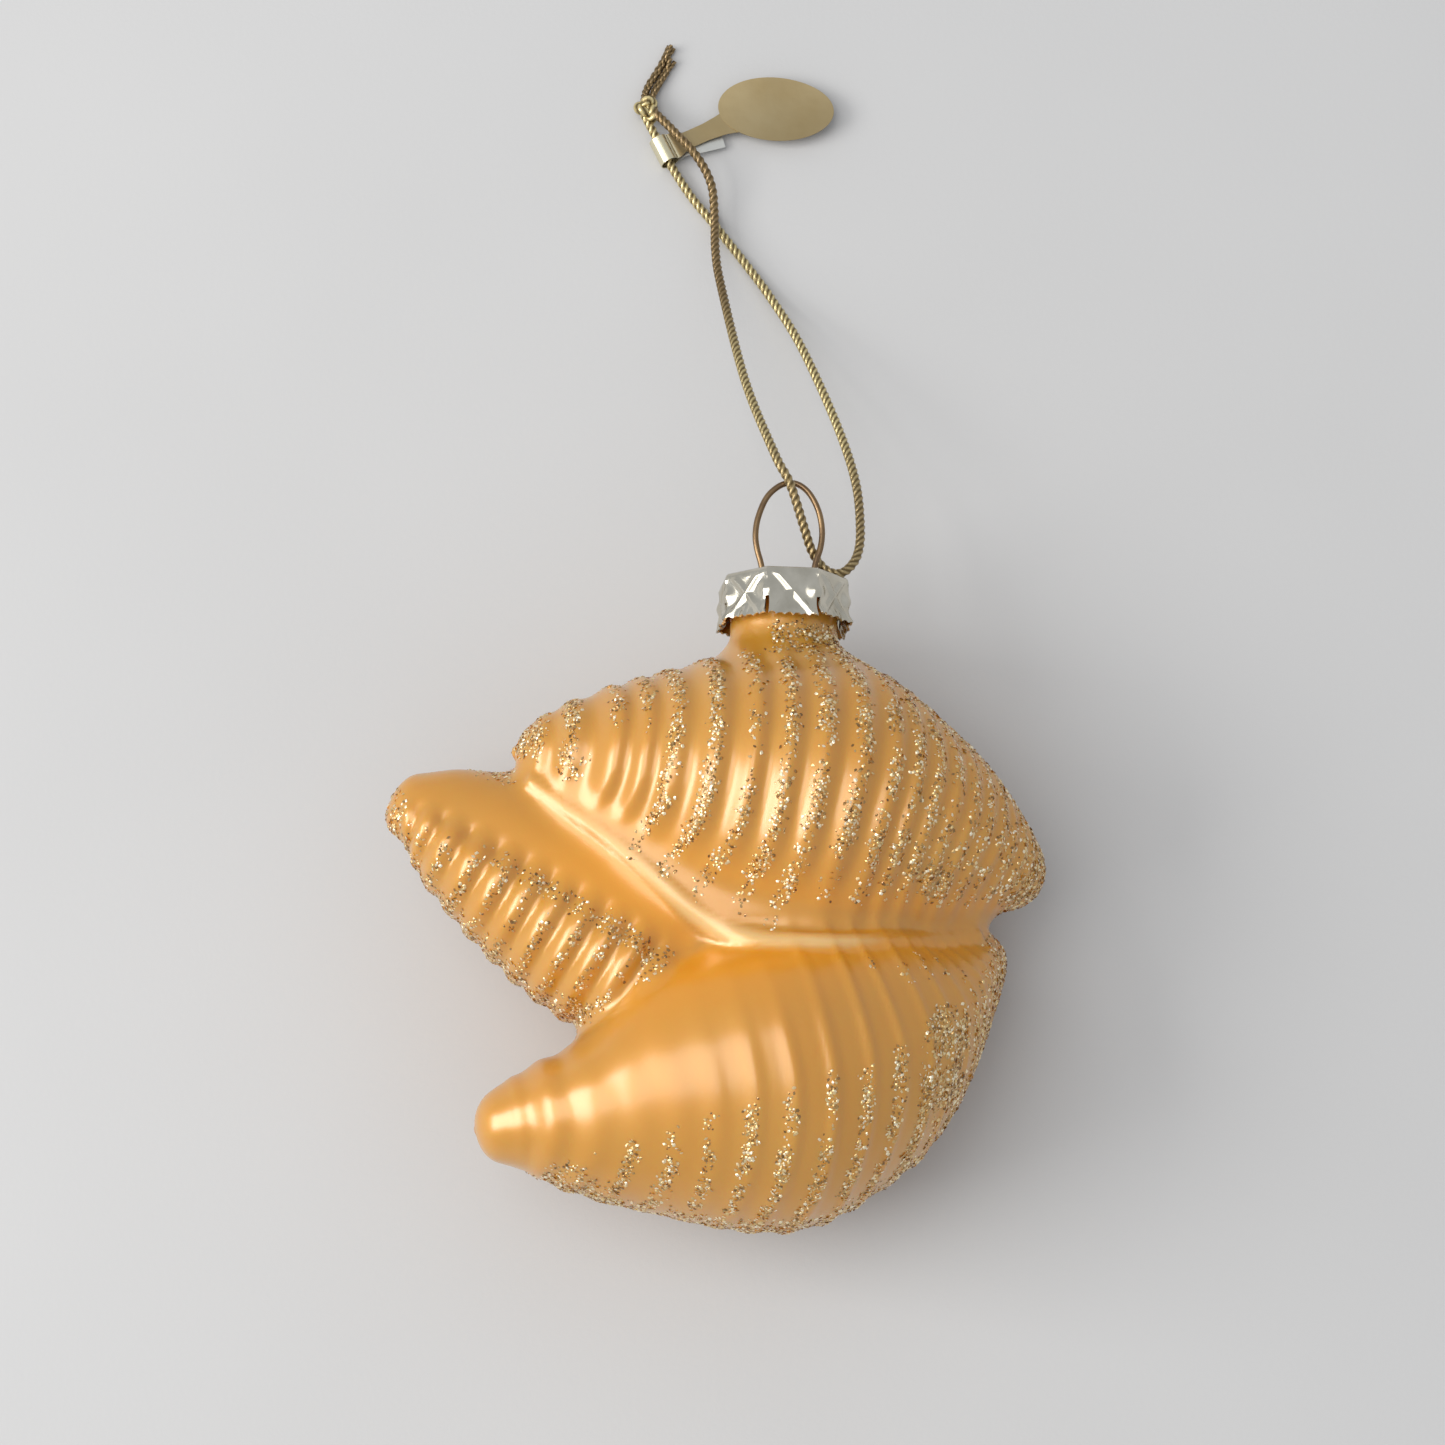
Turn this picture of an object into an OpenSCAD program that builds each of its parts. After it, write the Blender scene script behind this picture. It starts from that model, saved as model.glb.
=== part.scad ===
// Blown-glass shell ornament with crown cap, wire hanger, cord loop and foil label.
// It lies on its back: +Z out of the table, +Y along the neck towards the cord. Millimetres.

/* [Glass] */
// Height of the neck axis above the table
axis_h = 16; // [15.8:0.1:16.4]
// Wall thickness of the blown glass under the ribs
wall = 0.9; // [0.7:0.1:1.2]
// How strongly the ribs stand out
rib_gain = 1; // [0.6:0.1:1.2]
// Outer radius of the glass neck
neck_r = 5.4; // [5.2:0.1:5.6]
// Radius of the hole down the neck
bore_r = 4.4; // [4.3:0.1:4.6]
// Radius of the rolled lip where it is widest
lip_r = 1.2; // [0.9:0.1:1.3]

/* [Glitter] */
// Width of a glitter line
line_w = 1.6; // [1:0.1:2.2]
// How far a glitter line stands off the glass
line_h = 0.35; // [0.2:0.05:0.5]

/* [Cap] */
// Width of the eight-sided cap across its flats
cap_w = 12.4; // [12.2:0.1:12.8]
// Height of the cap
cap_h = 5; // [4.6:0.1:6]
// Thickness of the cap's sheet metal
cap_t = 0.3; // [0.25:0.05:0.4]
// Turn of the cap on the neck, in degrees
cap_turn = -7; // [-22:1:22]
// Radius of the hole in the cap's top
cap_hole_r = 3.8; // [3.75:0.05:4.2]

/* [Hanger] */
// Diameter of the hanger wire
wire_d = 0.6; // [0.5:0.05:0.7]
// Radius of the hanger's bow, at the middle of the wire
bow_r = 3.4; // [3.2:0.1:3.6]

/* [Cord] */
// Diameter of the cord
cord_d = 0.9; // [0.8:0.05:1]
// Length of the knot along the cord
knot_len = 2.5; // [2:0.1:3]

/* [Label] */
// Length of the label's oval end
oval_len = 12.7; // [10:0.1:14]
// Width of the label's oval end
oval_w = 7.4; // [6:0.1:8]
// Width of the strip that folds round the cord
strip_w = 3.3; // [2.5:0.1:3.6]
// Thickness of the foil
foil_t = 0.12; // [0.1:0.02:0.2]

/* [Hidden] */
$fn = 48;

// The shape is laid out from the neck axis; this moves it over the middle of its own box
middle = [-6.5, 9.3, 0];
glass_colour = [0.93, 0.66, 0.27];
glitter_colour = [0.78, 0.6, 0.3];
cord_colour = [0.72, 0.6, 0.3];
table_w = 120;

// Sides of a lobe's rings outside and inside, reach of its end, and what a ring is let out by so that
// its flats lie half in and half out of the round
sides = 22;
hollow_sides = 12;
tip = 0.3;
sag = 0.07;

// Stations along each lobe: x, y, z of its middle, then its reach up, down, forward and back
upper_stations = [
    [-26.5, 19, 18, tip, tip, tip, tip],
    [-22, 18.5, 18, 5.3, 5, 5.6, 9],
    [-14, 17.2, 17.6, 9.6, 9.6, 10, 14.5],
    [-5, 15.9, 17, 13, 13.4, 13.4, 17],
    [4, 14.4, 16, 14, 14.6, 14.6, 16.4],
    [13, 12, 14, 10.2, 11.6, 12.4, 14.3],
    [20, 9.2, 11.8, 6, 6.6, 8.4, 10.5],
    [25.4, 6.4, 9.5, tip, tip, tip, tip]
];
middle_stations = [
    [-39.4, 12.6, 17, tip, tip, tip, tip],
    [-35.5, 12, 17.5, 5.6, 3.8, 4.4, 6.5],
    [-30.5, 9, 17.5, 8.6, 6.2, 6.4, 10],
    [-25, 5.6, 17, 9.6, 8, 7.6, 12.5],
    [-19.5, 2.2, 16.5, 10, 9.2, 8.8, 13],
    [-14, -1.2, 16, 9.4, 9, 9.2, 13],
    [-8, -5, 15.5, 6, 5, 7, 10]
];
lower_stations = [
    [-30, -18.6, 18.5, tip, tip, tip, tip],
    [-25.5, -17.8, 18.2, 4.6, 5, 5.6, 9],
    [-18, -16.2, 17.6, 7.2, 9.8, 9.6, 14.5],
    [-10, -13.9, 16.8, 12, 14.2, 13, 17],
    [-1, -11.8, 15.6, 13, 16.2, 15, 16],
    [8, -9.4, 14, 12.6, 13, 13.4, 14.4],
    [15.5, -5.8, 12, 9, 6, 9.6, 10.5],
    [21.2, 0.8, 10, tip, tip, tip, tip]
];

// Places of the ribs' crests along each lobe, where it faces the front
upper_crests = [
    0.083, 0.16, 0.238, 0.283, 0.327, 0.385, 0.439, 0.489, 0.535, 0.581, 0.624, 0.655, 0.686, 0.719,
    0.752, 0.785, 0.817, 0.848, 0.877, 0.904, 0.929, 0.952
];
middle_crests = [for (n = [0:12]) (n + 0.6) / 13];
lower_crests = [
    0.122, 0.197, 0.27, 0.331, 0.388, 0.445, 0.502, 0.554, 0.609, 0.663, 0.708, 0.753, 0.793, 0.83,
    0.862, 0.89, 0.915, 0.938, 0.96
];

// A lobe: stations, crests, height of a rib for its spacing, and the lobe's name
upper_lobe = [squared(upper_stations), upper_crests, 0.2, "upper"];
middle_lobe = [squared(middle_stations), middle_crests, 0.27, "middle"];
lower_lobe = [squared(lower_stations), lower_crests, 0.09, "lower"];

// Room for the ribs' grooves outside the wall, and depth of the trough in the middle lobe's front
rib_room = 0.4;
trough_h = 2.2;

// Beads of the rolled lip along the valley: x, y, z and share of the widest radius
lip_beads = [
    [-25.5, 14.2, 21.4, 0.25], [-22, 11.4, 22.1, 0.33], [-18, 8.5, 22.9, 0.46], [-14, 5, 23.2, 0.71],
    [-10, 1.6, 23.1, 0.96], [-6, -0.4, 23.4, 1], [-2, -1.2, 24.4, 0.79], [2.4, -1.4, 24.8, 0.62],
    [6.4, -1.3, 24, 0.5], [11, -0.7, 21.6, 0.38], [15.6, 0.1, 18.1, 0.29]
];

// Beads of the valley's floor, of the foot and the slope that run from it up to the upper lobe, and of
// the seam between the middle and the lower lobe: x, y, z and radius
floor_beads = [
    [-21, 13.8, 15.9, 5], [-17, 10.8, 15.5, 6], [-13, 7.3, 15.5, 7], [-9, 3.9, 16.1, 7],
    [-5, 1.9, 16.4, 7], [-1, 1.1, 16.2, 7], [3.2, 0.9, 16.4, 6.5], [7.2, 1, 16, 5.5],
    [11.8, 1.6, 15.4, 4], [14.2, 1, 15.6, 3.4], [16.6, 1.4, 14.2, 2.8]
];
foot_beads = [
    [-23.2, 15.8, 19.9, 2.3], [-20.3, 13.5, 21.2, 2.4], [-16.3, 10.6, 22.1, 2.4], [-12.2, 7, 22.5, 2.4],
    [-8.4, 3.7, 22.5, 2.4], [-5.1, 2, 22.6, 2.4], [-1.7, 1.4, 22.7, 2.3], [2.4, 1.2, 22.7, 2.2],
    [7.2, 1.4, 21.7, 2]
];
slope_beads = [
    [-25.5, 16.2, 19.2, 1.6], [-22.5, 14.1, 19.9, 2.6], [-19.5, 12.6, 20.3, 3.3],
    [-16.8, 11.2, 20.6, 3.6], [-12.8, 7.7, 21, 3.6], [-8.3, 5.3, 21.4, 3.6], [-4.5, 3.8, 21.6, 3.6],
    [-0.9, 2.9, 21.4, 3.6], [3.2, 2.4, 21.3, 3.6], [7.2, 2.4, 20.2, 3.6], [11.8, 2.7, 18.3, 3.4],
    [14.9, 3, 18, 2.3], [17.6, 2, 14.8, 2.1]
];
seam_beads = [
    [-19.3, -8.4, 18.8, 1.2], [-16.5, -7, 22.2, 1.3], [-13.5, -5.3, 23.8, 1.3], [-11.3, -3, 22.6, 1.3],
    [-9.3, -1.2, 21.9, 1.4], [-10.4, 0.6, 22, 1.2], [-12.2, 2.2, 22.3, 1.2]
];

// Balls whose hull fills the middle behind the valley: x, y, z and radius
heart_balls = [[-17, 5, 11.5, 8], [-4, -3, 11, 8], [13, 3.5, 10.5, 7]];

// Neck profile: radius and place along the neck, from the rim down into the upper lobe
neck_top = 36.5;
neck_profile = [
    [neck_r - 0.3, neck_top], [neck_r, neck_top - 1.5], [neck_r, 31.5], [neck_r + 0.8, 29.8],
    [neck_r + 2.2, 28], [neck_r + 3.8, 24], [0, 24], [0, neck_top]
];
bore_from = 18;
cap_gap = 0.1;
cap_top = neck_top + cap_gap + cap_t;
slit_w = 0.5;
slit_h = 1.8;

// Glitter lines: how deep their edges and roots sit, and the angle from ring to ring
line_edge = 0.25;
line_root = 0.3;
line_step = 18;

// Glitter patch on the right front of the neck: where it starts, how far round, its place and height
patch_turn = 200;
patch_angle = 85;
patch_at = 29.9;
patch_h = 1.1;

// Hanger: middle of the bow, where each leg bends at the cap and where it ends in the neck
bow_at = [0.5, 43.8];
bow_dip = 6;
leg_end_x = 3.85;
leg_bend_y = 35;
leg_end_y = 22;

// Cord route from the knot down the right strand, round the hanger's leg and back to the knot
cord_route = [
    [-14.6, 93.9, 1.1], [-13.5, 91.7, 1], [-12.5, 89.8, 1], [-11.4, 87.6, 0.8], [-9.4, 84.5, 0.6],
    [-7.4, 82, 0.5], [-5.6, 79.6, 0.5], [-3.4, 76.6, 0.6], [-1, 73, 1], [2.2, 66.8, 3],
    [5.7, 57, 7], [7.6, 49.4, 10.4], [8, 43.6, 12.4], [7.6, 40.4, 13.4], [6.4, 38.6, 14.1],
    [5.2, 38.2, 14.5], [4, 38.8, 14.8], [2.9, 40.4, 15.3], [2.1, 42.6, 16.2], [0.7, 46.9, 17.2],
    [-0.8, 50.2, 16.6], [-3.8, 60, 11.2], [-6.3, 73, 4.4], [-6.9, 77.7, 2.6], [-7, 82, 1.7],
    [-7.4, 85.6, 2.2], [-9, 88.6, 2.8], [-11.4, 91.5, 2.6], [-13.8, 94.4, 1.7]
];
bight_from = 13;
bight_to = 17;
knot_at = [-14.8, 95, 1.4];
knot_dir = [-0.4, 0.9, 0];
tail_routes = [
    [[-14.8, 95.6, 1.2], [-14.4, 97.4, 0.8], [-13, 100, 0.5], [-11.8, 102.4, 0.5]],
    [[-14, 95.4, 1.2], [-13.2, 97.2, 0.8], [-12.2, 99, 0.5], [-11.4, 100.8, 0.5]]
];
strand_step = 2;
bight_step = 3;

// Label: the fold sits round the right strand and the strip leaves it square to the cord
fold_at = [-12.5, 89.8, 1.2];
fold_turn = -64;
fold_r = 1.1;
strip_turn = 26;
strip_len = 8;
back_turn = 16;
back_len = 7.5;
oval_at = [-0.3, 94.6];
oval_turn = -5;

// Smooth curve through a list of points, f running from one point to the next
function bend(p, q, r, s, f) =
    0.5 * (2 * q + (r - p) * f + (2 * p - 5 * q + 4 * r - s) * f * f
    + (3 * q - p - 3 * r + s) * f * f * f);
function along(list, u) =
    let (last = len(list) - 1, i = min(floor(u * last), last - 1), a = list[i], b = list[i + 1])
    bend(i > 0 ? list[i - 1] : 2 * a - b, a, b, i < last - 1 ? list[i + 2] : 2 * b - a, u * last - i);
function unit(v) = v / norm(v);
nudge = 0.002;
function change(list, u) = along(list, min(u + nudge, 1)) - along(list, max(u - nudge, 0));
function spot(v) = [v[0], v[1], v[2]];

// Reaches are kept squared, so that they run to a round end
function squared(list) =
    [for (s = list) [s[0], s[1], s[2], s[3] ^ 2, s[4] ^ 2, s[5] ^ 2, s[6] ^ 2]];
function reach(s, i, less) = max(sqrt(max(s[i], 0)) - less, 0.05);

// Smooth step from 0 at low to 1 at high, and a number kept between two limits
function ease(v, low, high) =
    let (t = clip((v - low) / (high - low), 0, 1))
    t * t * (3 - 2 * t);
function clip(v, low, high) = max(low, min(high, v));

// Angles round a lobe run on from a first angle
function from_angle(a, first) = let (b = a % 360) b < first ? b + 360 : b >= first + 360 ? b - 360 : b;

// Share of the rib height at a place along and round a lobe
function rib_share(lobe, u, angle) =
    let (a = from_angle(angle, -180), away = abs(a), fade = 150 + 16 * ease(u, 0.5, 0.7),
        soft = 0.15 + 0.85 * ease(a, 35, 80))
    lobe[3] == "upper" ?
        (0.55 + 0.45 * ease(away, 15, 70)) * (1 - ease(a, fade - 42, fade)) * (1 - ease(-a, 120, 165)) :
    lobe[3] == "middle" ?
        ease(away, 82, 100) * (1 - 0.45 * ease(away, 120, 160)) * (1 - ease(u, 0.86, 0.97)) :
        (a > 0 ? soft + (1 - soft) * ease(u, 0.5, 0.7) : 1) * (0.25 + 0.75 * ease(u, 0.2, 0.55));

// How far a rib has moved along the lobe at an angle, because the ribs bow
function upper_lean(u, a) =
    -((0.02 + 0.07 * max(u - 0.45, 0)) * clip((90 - a) / 60, 0, 2) ^ 2
    + 0.055 * clip((0.6 - u) / 0.22, -0.5, 1) * clip((a - 100) / 60, 0, 1.3) ^ 2)
    * (1 - ease(abs(a - 80), 110, 165));
function lower_lean(a) = -0.075 * ease(a, 95, 190) * (1 - ease(a, 215, 300));
function lean(lobe, u, angle) =
    let (inner = ease(u, 0, 0.25) * (1 - ease(u, 0.955, 0.995)))
    lobe[3] == "upper" ? upper_lean(u, from_angle(angle, -90)) * inner :
    lobe[3] == "lower" ? lower_lean(from_angle(angle, -60)) * inner : 0;

// Depth of the trough in the middle lobe's front
function trough(lobe, u, angle) =
    lobe[3] == "middle" ?
        trough_h * exp(-((from_angle(angle, -180) - 70) / 19) ^ 2) * ease(u, 0.06, 0.35) : 0;

// Point of a lobe's surface: u along it, angle round it from its upper edge over the front
function skin(lobe, u, angle, out) =
    let (
        s = along(lobe[0], u),
        ahead = unit(spot(change(lobe[0], u))),
        upward = unit(cross([0, 0, 1], ahead)),
        forward = cross(ahead, upward),
        c = cos(angle),
        d = sin(angle)
    )
    spot(s) + upward * c * reach(s, c < 0 ? 4 : 3, -out) + forward * d * reach(s, d < 0 ? 6 : 5, -out);
function ring(lobe, place) =
    [for (i = [0:sides - 1]) let (a = -i * 360 / sides, u = place[0] + lean(lobe, place[0], a))
        skin(lobe, u, a, sag + place[1] * rib_share(lobe, place[0], a) - trough(lobe, u, a))];
function hollow_ring(lobe, u) =
    let (less = wall + rib_room + (lobe[3] == "middle" ? trough_h : 0))
    [for (i = [0:hollow_sides - 1]) skin(lobe, u, -i * 360 / hollow_sides, -less)];

// Half the height of the ribs at a place whose crests are that far apart
function half_rib(lobe, u, apart) =
    let (s = along(lobe[0], u), pace = norm(spot(change(lobe[0], u))) / 2 / nudge)
    rib_gain * lobe[2] * min(apart * pace, 5) / 2 * ease(min(reach(s, 3, 0), reach(s, 5, 0)), 1, 4);
function apart(c, i) = i > 0 ? c[i] - c[i - 1] : c[1] - c[0];

// Places of a lobe's rings, with the height of the ribs there: a groove and a crest for each rib
function groove_place(lobe, u, apart) = [u, -half_rib(lobe, u, apart)];
function crest_place(lobe, i) = [lobe[1][i], half_rib(lobe, lobe[1][i], apart(lobe[1], i))];
function places(lobe) =
    let (c = lobe[1], last = len(c) - 1, first_groove = c[0] - apart(c, 0) / 2,
        last_groove = c[last] + apart(c, last) / 2, ribbed = last_groove < 0.99 ? last_groove : c[last])
    [
        [0, 0],
        for (u = [0.012, 0.035]) if (u < first_groove - 0.01) [u, 0],
        for (i = [0:last]) each [
            groove_place(lobe, c[i] - apart(c, i) / 2, apart(c, i)),
            crest_place(lobe, i)
        ],
        if (ribbed > c[last]) groove_place(lobe, last_groove, apart(c, last)),
        for (u = [0.97, 0.977, 0.984, 0.992, 1]) if (u > ribbed + 0.004) [u, 0]
    ];

// Closed solid between the rings of a tube
module loft(rings) {
    n = len(rings[0]);
    last = len(rings) - 1;
    walls = [
        for (i = [0:last - 1], j = [0:n - 1])
            let (k = (j + 1) % n)
            each [
                [i * n + j, i * n + k, (i + 1) * n + k],
                [i * n + j, (i + 1) * n + k, (i + 1) * n + j]
            ]
    ];
    ends = [
        [for (j = [0:n - 1]) n - 1 - j],
        [for (j = [0:n - 1]) last * n + j]
    ];
    polyhedron([for (r = rings) each r], concat(walls, ends));
}

module lobe_shell(lobe) {
    loft([for (place = places(lobe)) ring(lobe, place)]);
}

module lobe_hollow(lobe) {
    first = 0.1;
    last = 0.86;
    steps = 9;
    loft([for (i = [0:steps]) hollow_ring(lobe, first + (last - first) * i / steps)]);
}

// The solid middle behind the valley, drawn in by a wall where it is the hollow
module heart(less) {
    hull() for (b = heart_balls)
        translate(spot(b)) sphere(b[3] - less, $fn = 16);
}

// Chain of balls, each bead x, y, z and its share of a radius
module bead_chain(beads, r, n) {
    for (i = [0:len(beads) - 2])
        hull() for (b = [beads[i], beads[i + 1]])
            translate(spot(b)) sphere(b[3] * r, $fn = n);
}

// Turns a shape that stands along Z to stand along the neck
module on_neck() {
    translate([0, 0, axis_h]) rotate([-90, 0, 0]) children();
}

module set_down() {
    translate(-middle) children();
}

module glass_body() {
    color(glass_colour) set_down() difference() {
        union() {
            lobe_shell(upper_lobe);
            lobe_shell(middle_lobe);
            lobe_shell(lower_lobe);
            heart(0);
            bead_chain(lip_beads, lip_r, 8);
            bead_chain(floor_beads, 1, 16);
            bead_chain(foot_beads, 1, 10);
            bead_chain(slope_beads, 1, 14);
            bead_chain(seam_beads, 1, 8);
            on_neck() rotate_extrude() polygon(neck_profile);
        }
        lobe_hollow(upper_lobe);
        lobe_hollow(middle_lobe);
        lobe_hollow(lower_lobe);
        heart(wall + rib_room);
        on_neck() translate([0, 0, bore_from]) cylinder(r = bore_r, h = neck_top - bore_from + 1);
        translate([-table_w / 2, -table_w / 2, -axis_h]) cube([table_w, table_w, axis_h]);
    }
}

// One line of glitter along a rib's crest, between two angles round the lobe
module glitter_line(lobe, rib, from, to) {
    place = crest_place(lobe, rib);
    half = line_w / 2 / norm(spot(along(lobe[0], 1) - along(lobe[0], 0)));
    steps = max(3, round((to - from) / line_step));
    loft([
        for (i = [0:steps])
            let (
                a = from + (to - from) * i / steps,
                u = place[0] + lean(lobe, place[0], a),
                crest = place[1] * rib_share(lobe, place[0], a)
            )
            [
                skin(lobe, u - half, a, crest - line_edge),
                skin(lobe, u, a, crest + line_h),
                skin(lobe, u + half, a, crest - line_edge),
                skin(lobe, u, a, -line_root)
            ]
    ]);
}

module upper_glitter() {
    short_lines = [2, 3];
    over_top = -30;
    below_neck = 34;
    color(glitter_colour) set_down() for (rib = [0:18]) {
        u = upper_crests[rib];
        crest_x = skin(upper_lobe, u + lean(upper_lobe, u, 0), 0, 0)[0];
        from = abs(crest_x) < neck_r + 2.5 ? below_neck : over_top;
        to = len(search(rib, short_lines)) > 0 ? 66 : 146 - 18 * ease(u, 0.45, 0.6);
        glitter_line(upper_lobe, rib, from, to);
    }
}

module middle_glitter() {
    color(glitter_colour) set_down() for (rib = [0:8])
        glitter_line(middle_lobe, rib, 104, 176);
}

module lower_glitter() {
    color(glitter_colour) set_down() for (rib = [1:13])
        glitter_line(lower_lobe, rib, 126 - 22 * ease(lower_crests[rib], 0.2, 0.62), 200);
}

module neck_glitter() {
    inner = neck_r - line_root;
    color(glitter_colour) set_down() on_neck() rotate([0, 0, patch_turn])
        translate([0, 0, patch_at]) rotate_extrude(angle = patch_angle)
        polygon([[inner, 0.4], [neck_r + 0.9, 0], [neck_r + line_h, patch_h], [inner, patch_h]]);
}

module crown_cap() {
    outer_r = cap_w / 2 / cos(22.5);
    color("silver") set_down() on_neck() rotate([0, 0, 22.5 - cap_turn]) difference() {
        translate([0, 0, cap_top - cap_h]) cylinder(r = outer_r, h = cap_h, $fn = 8);
        translate([0, 0, cap_top - cap_h - 1])
            cylinder(r = outer_r - cap_t / cos(22.5), h = cap_h + 1 - cap_t, $fn = 8);
        translate([0, 0, cap_top - 1]) cylinder(r = cap_hole_r, h = 2);
        for (i = [0:7])
            rotate([0, 0, i * 45]) translate([outer_r - 1, -slit_w / 2, cap_top - cap_h - 1])
                cube([2, slit_w, slit_h + 1]);
    }
}

module rod(a, b, d) {
    v = b - a;
    translate(a) rotate([0, acos(v[2] / norm(v)), atan2(v[1], v[0])]) cylinder(d = d, h = norm(v));
}

// One leg of the hanger, from the bow through the cap into the neck
module hanger_leg(side) {
    start = [bow_at[0] + side * bow_r * cos(bow_dip), bow_at[1] - bow_r * sin(bow_dip), axis_h];
    run = (start[1] - leg_bend_y) * tan(bow_dip);
    knee = [start[0] - side * run, leg_bend_y, axis_h];
    foot = [side * leg_end_x, leg_end_y, axis_h];
    for (bend_at = [start, knee])
        translate(bend_at) sphere(d = wire_d * 1.08);
    rod(start, knee, wire_d);
    rod(knee, foot, wire_d);
}

module hanger_wire() {
    color([0.55, 0.4, 0.2]) set_down() union() {
        translate([bow_at[0], bow_at[1], axis_h]) rotate([0, 0, -bow_dip])
            rotate_extrude(angle = 180 + 2 * bow_dip) translate([bow_r, 0]) circle(d = wire_d);
        hanger_leg(1);
        hanger_leg(-1);
    }
}

// Ring of a round tube at place u of a route
function tube_ring(route, u, r, n) =
    let (
        ahead = unit(change(route, u)),
        across = unit(cross([0, 0, 1], ahead)),
        above = cross(ahead, across)
    )
    [for (i = [0:n - 1]) along(route, u) + (across * cos(i * 360 / n) + above * sin(i * 360 / n)) * r];

// Part of a route as a tube, between two of its points
module tube(route, from, to, steps) {
    last = len(route) - 1;
    loft([for (i = [from * steps:to * steps]) tube_ring(route, i / steps / last, cord_d / 2, 8)]);
}

module cord_bight() {
    color(cord_colour) set_down() tube(cord_route, bight_from, bight_to, bight_step);
}

module cord_strand_right() {
    color(cord_colour) set_down() tube(cord_route, 0, bight_from, strand_step);
}

module cord_strand_left() {
    color(cord_colour) set_down() tube(cord_route, bight_to, len(cord_route) - 1, strand_step);
}

module cord_knot() {
    wrap_r = 0.75;
    color(cord_colour) set_down() translate(knot_at)
        rotate([0, 90, atan2(knot_dir[1], knot_dir[0])]) union() {
            sphere(d = knot_len * 0.8);
            for (place = [-0.4, 0.4])
                translate([0, 0, place]) rotate_extrude() translate([wrap_r, 0]) circle(d = cord_d);
        }
}

module cord_tails() {
    color(cord_colour) set_down() for (route = tail_routes)
        tube(route, 0, len(route) - 1, strand_step);
}

// Flat strip of foil that leaves the fold at a turn
module strip(turn, length) {
    rotate([0, 0, turn]) translate([fold_r - foil_t, -strip_w / 2])
        square([length - fold_r, strip_w]);
}

module foil_label() {
    oval = [for (i = [0:47]) [oval_len / 2 * cos(i * 7.5), oval_w / 2 * sin(i * 7.5)]];
    color([0.63, 0.53, 0.37]) set_down() union() {
        translate(fold_at) rotate([0, 90, fold_turn]) difference() {
            cylinder(r = fold_r, h = strip_w, center = true);
            cylinder(r = fold_r - foil_t, h = strip_w + 1, center = true);
        }
        translate(fold_at) linear_extrude(foil_t) strip(strip_turn, strip_len);
        translate(fold_at + [0, 0, -foil_t]) linear_extrude(foil_t) strip(back_turn, back_len);
        translate([oval_at[0], oval_at[1], fold_at[2]]) rotate([0, 0, oval_turn])
            linear_extrude(foil_t) polygon(oval);
    }
}

glass_body();
upper_glitter();
middle_glitter();
lower_glitter();
neck_glitter();
crown_cap();
hanger_wire();
cord_bight();
cord_strand_left();
cord_strand_right();
cord_knot();
cord_tails();
foil_label();
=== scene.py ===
"""Blown-glass shell ornament with its cap, wire hanger, cord loop and foil label, lying on a table.

The glass is one implicit surface: three swept, ribbed lobes, a rolled lip and a neck run into each
other. Sizes are in millimetres from the neck's axis, and to_frame() turns them into the CAD's frame.
"""
import logging
import math
from dataclasses import dataclass, field, replace
from enum import Enum
from typing import Any, Sequence

import bpy
import numpy as np
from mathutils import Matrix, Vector


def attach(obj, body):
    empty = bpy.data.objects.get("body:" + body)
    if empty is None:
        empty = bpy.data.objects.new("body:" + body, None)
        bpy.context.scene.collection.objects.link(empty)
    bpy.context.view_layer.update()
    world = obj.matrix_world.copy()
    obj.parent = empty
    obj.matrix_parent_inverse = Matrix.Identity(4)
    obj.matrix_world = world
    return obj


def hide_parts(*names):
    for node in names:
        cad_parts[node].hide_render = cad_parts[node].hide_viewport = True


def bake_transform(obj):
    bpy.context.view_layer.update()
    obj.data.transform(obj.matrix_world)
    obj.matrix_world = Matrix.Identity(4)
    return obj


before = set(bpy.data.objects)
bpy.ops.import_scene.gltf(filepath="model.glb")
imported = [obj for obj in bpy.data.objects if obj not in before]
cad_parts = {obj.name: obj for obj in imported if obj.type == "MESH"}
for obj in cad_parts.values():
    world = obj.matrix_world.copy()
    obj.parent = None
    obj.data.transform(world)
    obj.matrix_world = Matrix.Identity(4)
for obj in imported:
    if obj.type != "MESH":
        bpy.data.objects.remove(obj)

LOG = logging.getLogger("ornament")
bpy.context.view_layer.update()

MM = 0.001
# Where the CAD's origin is, from the neck's axis and the table
MIDDLE = np.array([-6.5, 9.3, 0.0])
# Height of the neck's axis above the table
AXIS_H = 16.0
# Start of everything that is drawn by chance
SEED = 7
# Keeps divisions away from nothing
TINY = 1e-6

Points = np.ndarray


class Body(Enum):
    """The CAD bodies that pieces ride on."""

    GLASS = "glass"
    CAP = "cap"
    HANGER = "hanger"
    CORD = "cord"
    LABEL = "label"


class Slot(Enum):
    """The record's material slots."""

    GLASS = "glass"
    GLITTER = "glitter"
    CAP = "cap_metal"
    WIRE = "wire"
    CORD = "cord"
    FOIL = "foil"


# Small maths


def to_frame(points: Any) -> np.ndarray:
    """Turn millimetres from the neck's axis into metres in the CAD's frame.

    Args:
        points: One point or an array of points.

    Returns:
        The same points in the CAD's frame.
    """
    return (np.asarray(points, float) - MIDDLE) * MM


def ease(value: Any, low: float, high: float) -> np.ndarray:
    """Rise smoothly from 0 at low to 1 at high."""
    t = np.clip((np.asarray(value, float) - low) / (high - low), 0.0, 1.0)
    return t * t * (3.0 - 2.0 * t)


def turn_from(angle: np.ndarray, first: float) -> np.ndarray:
    """Count angles in degrees from a first one, through a full turn."""
    return (angle - first) % 360.0 + first


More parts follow.
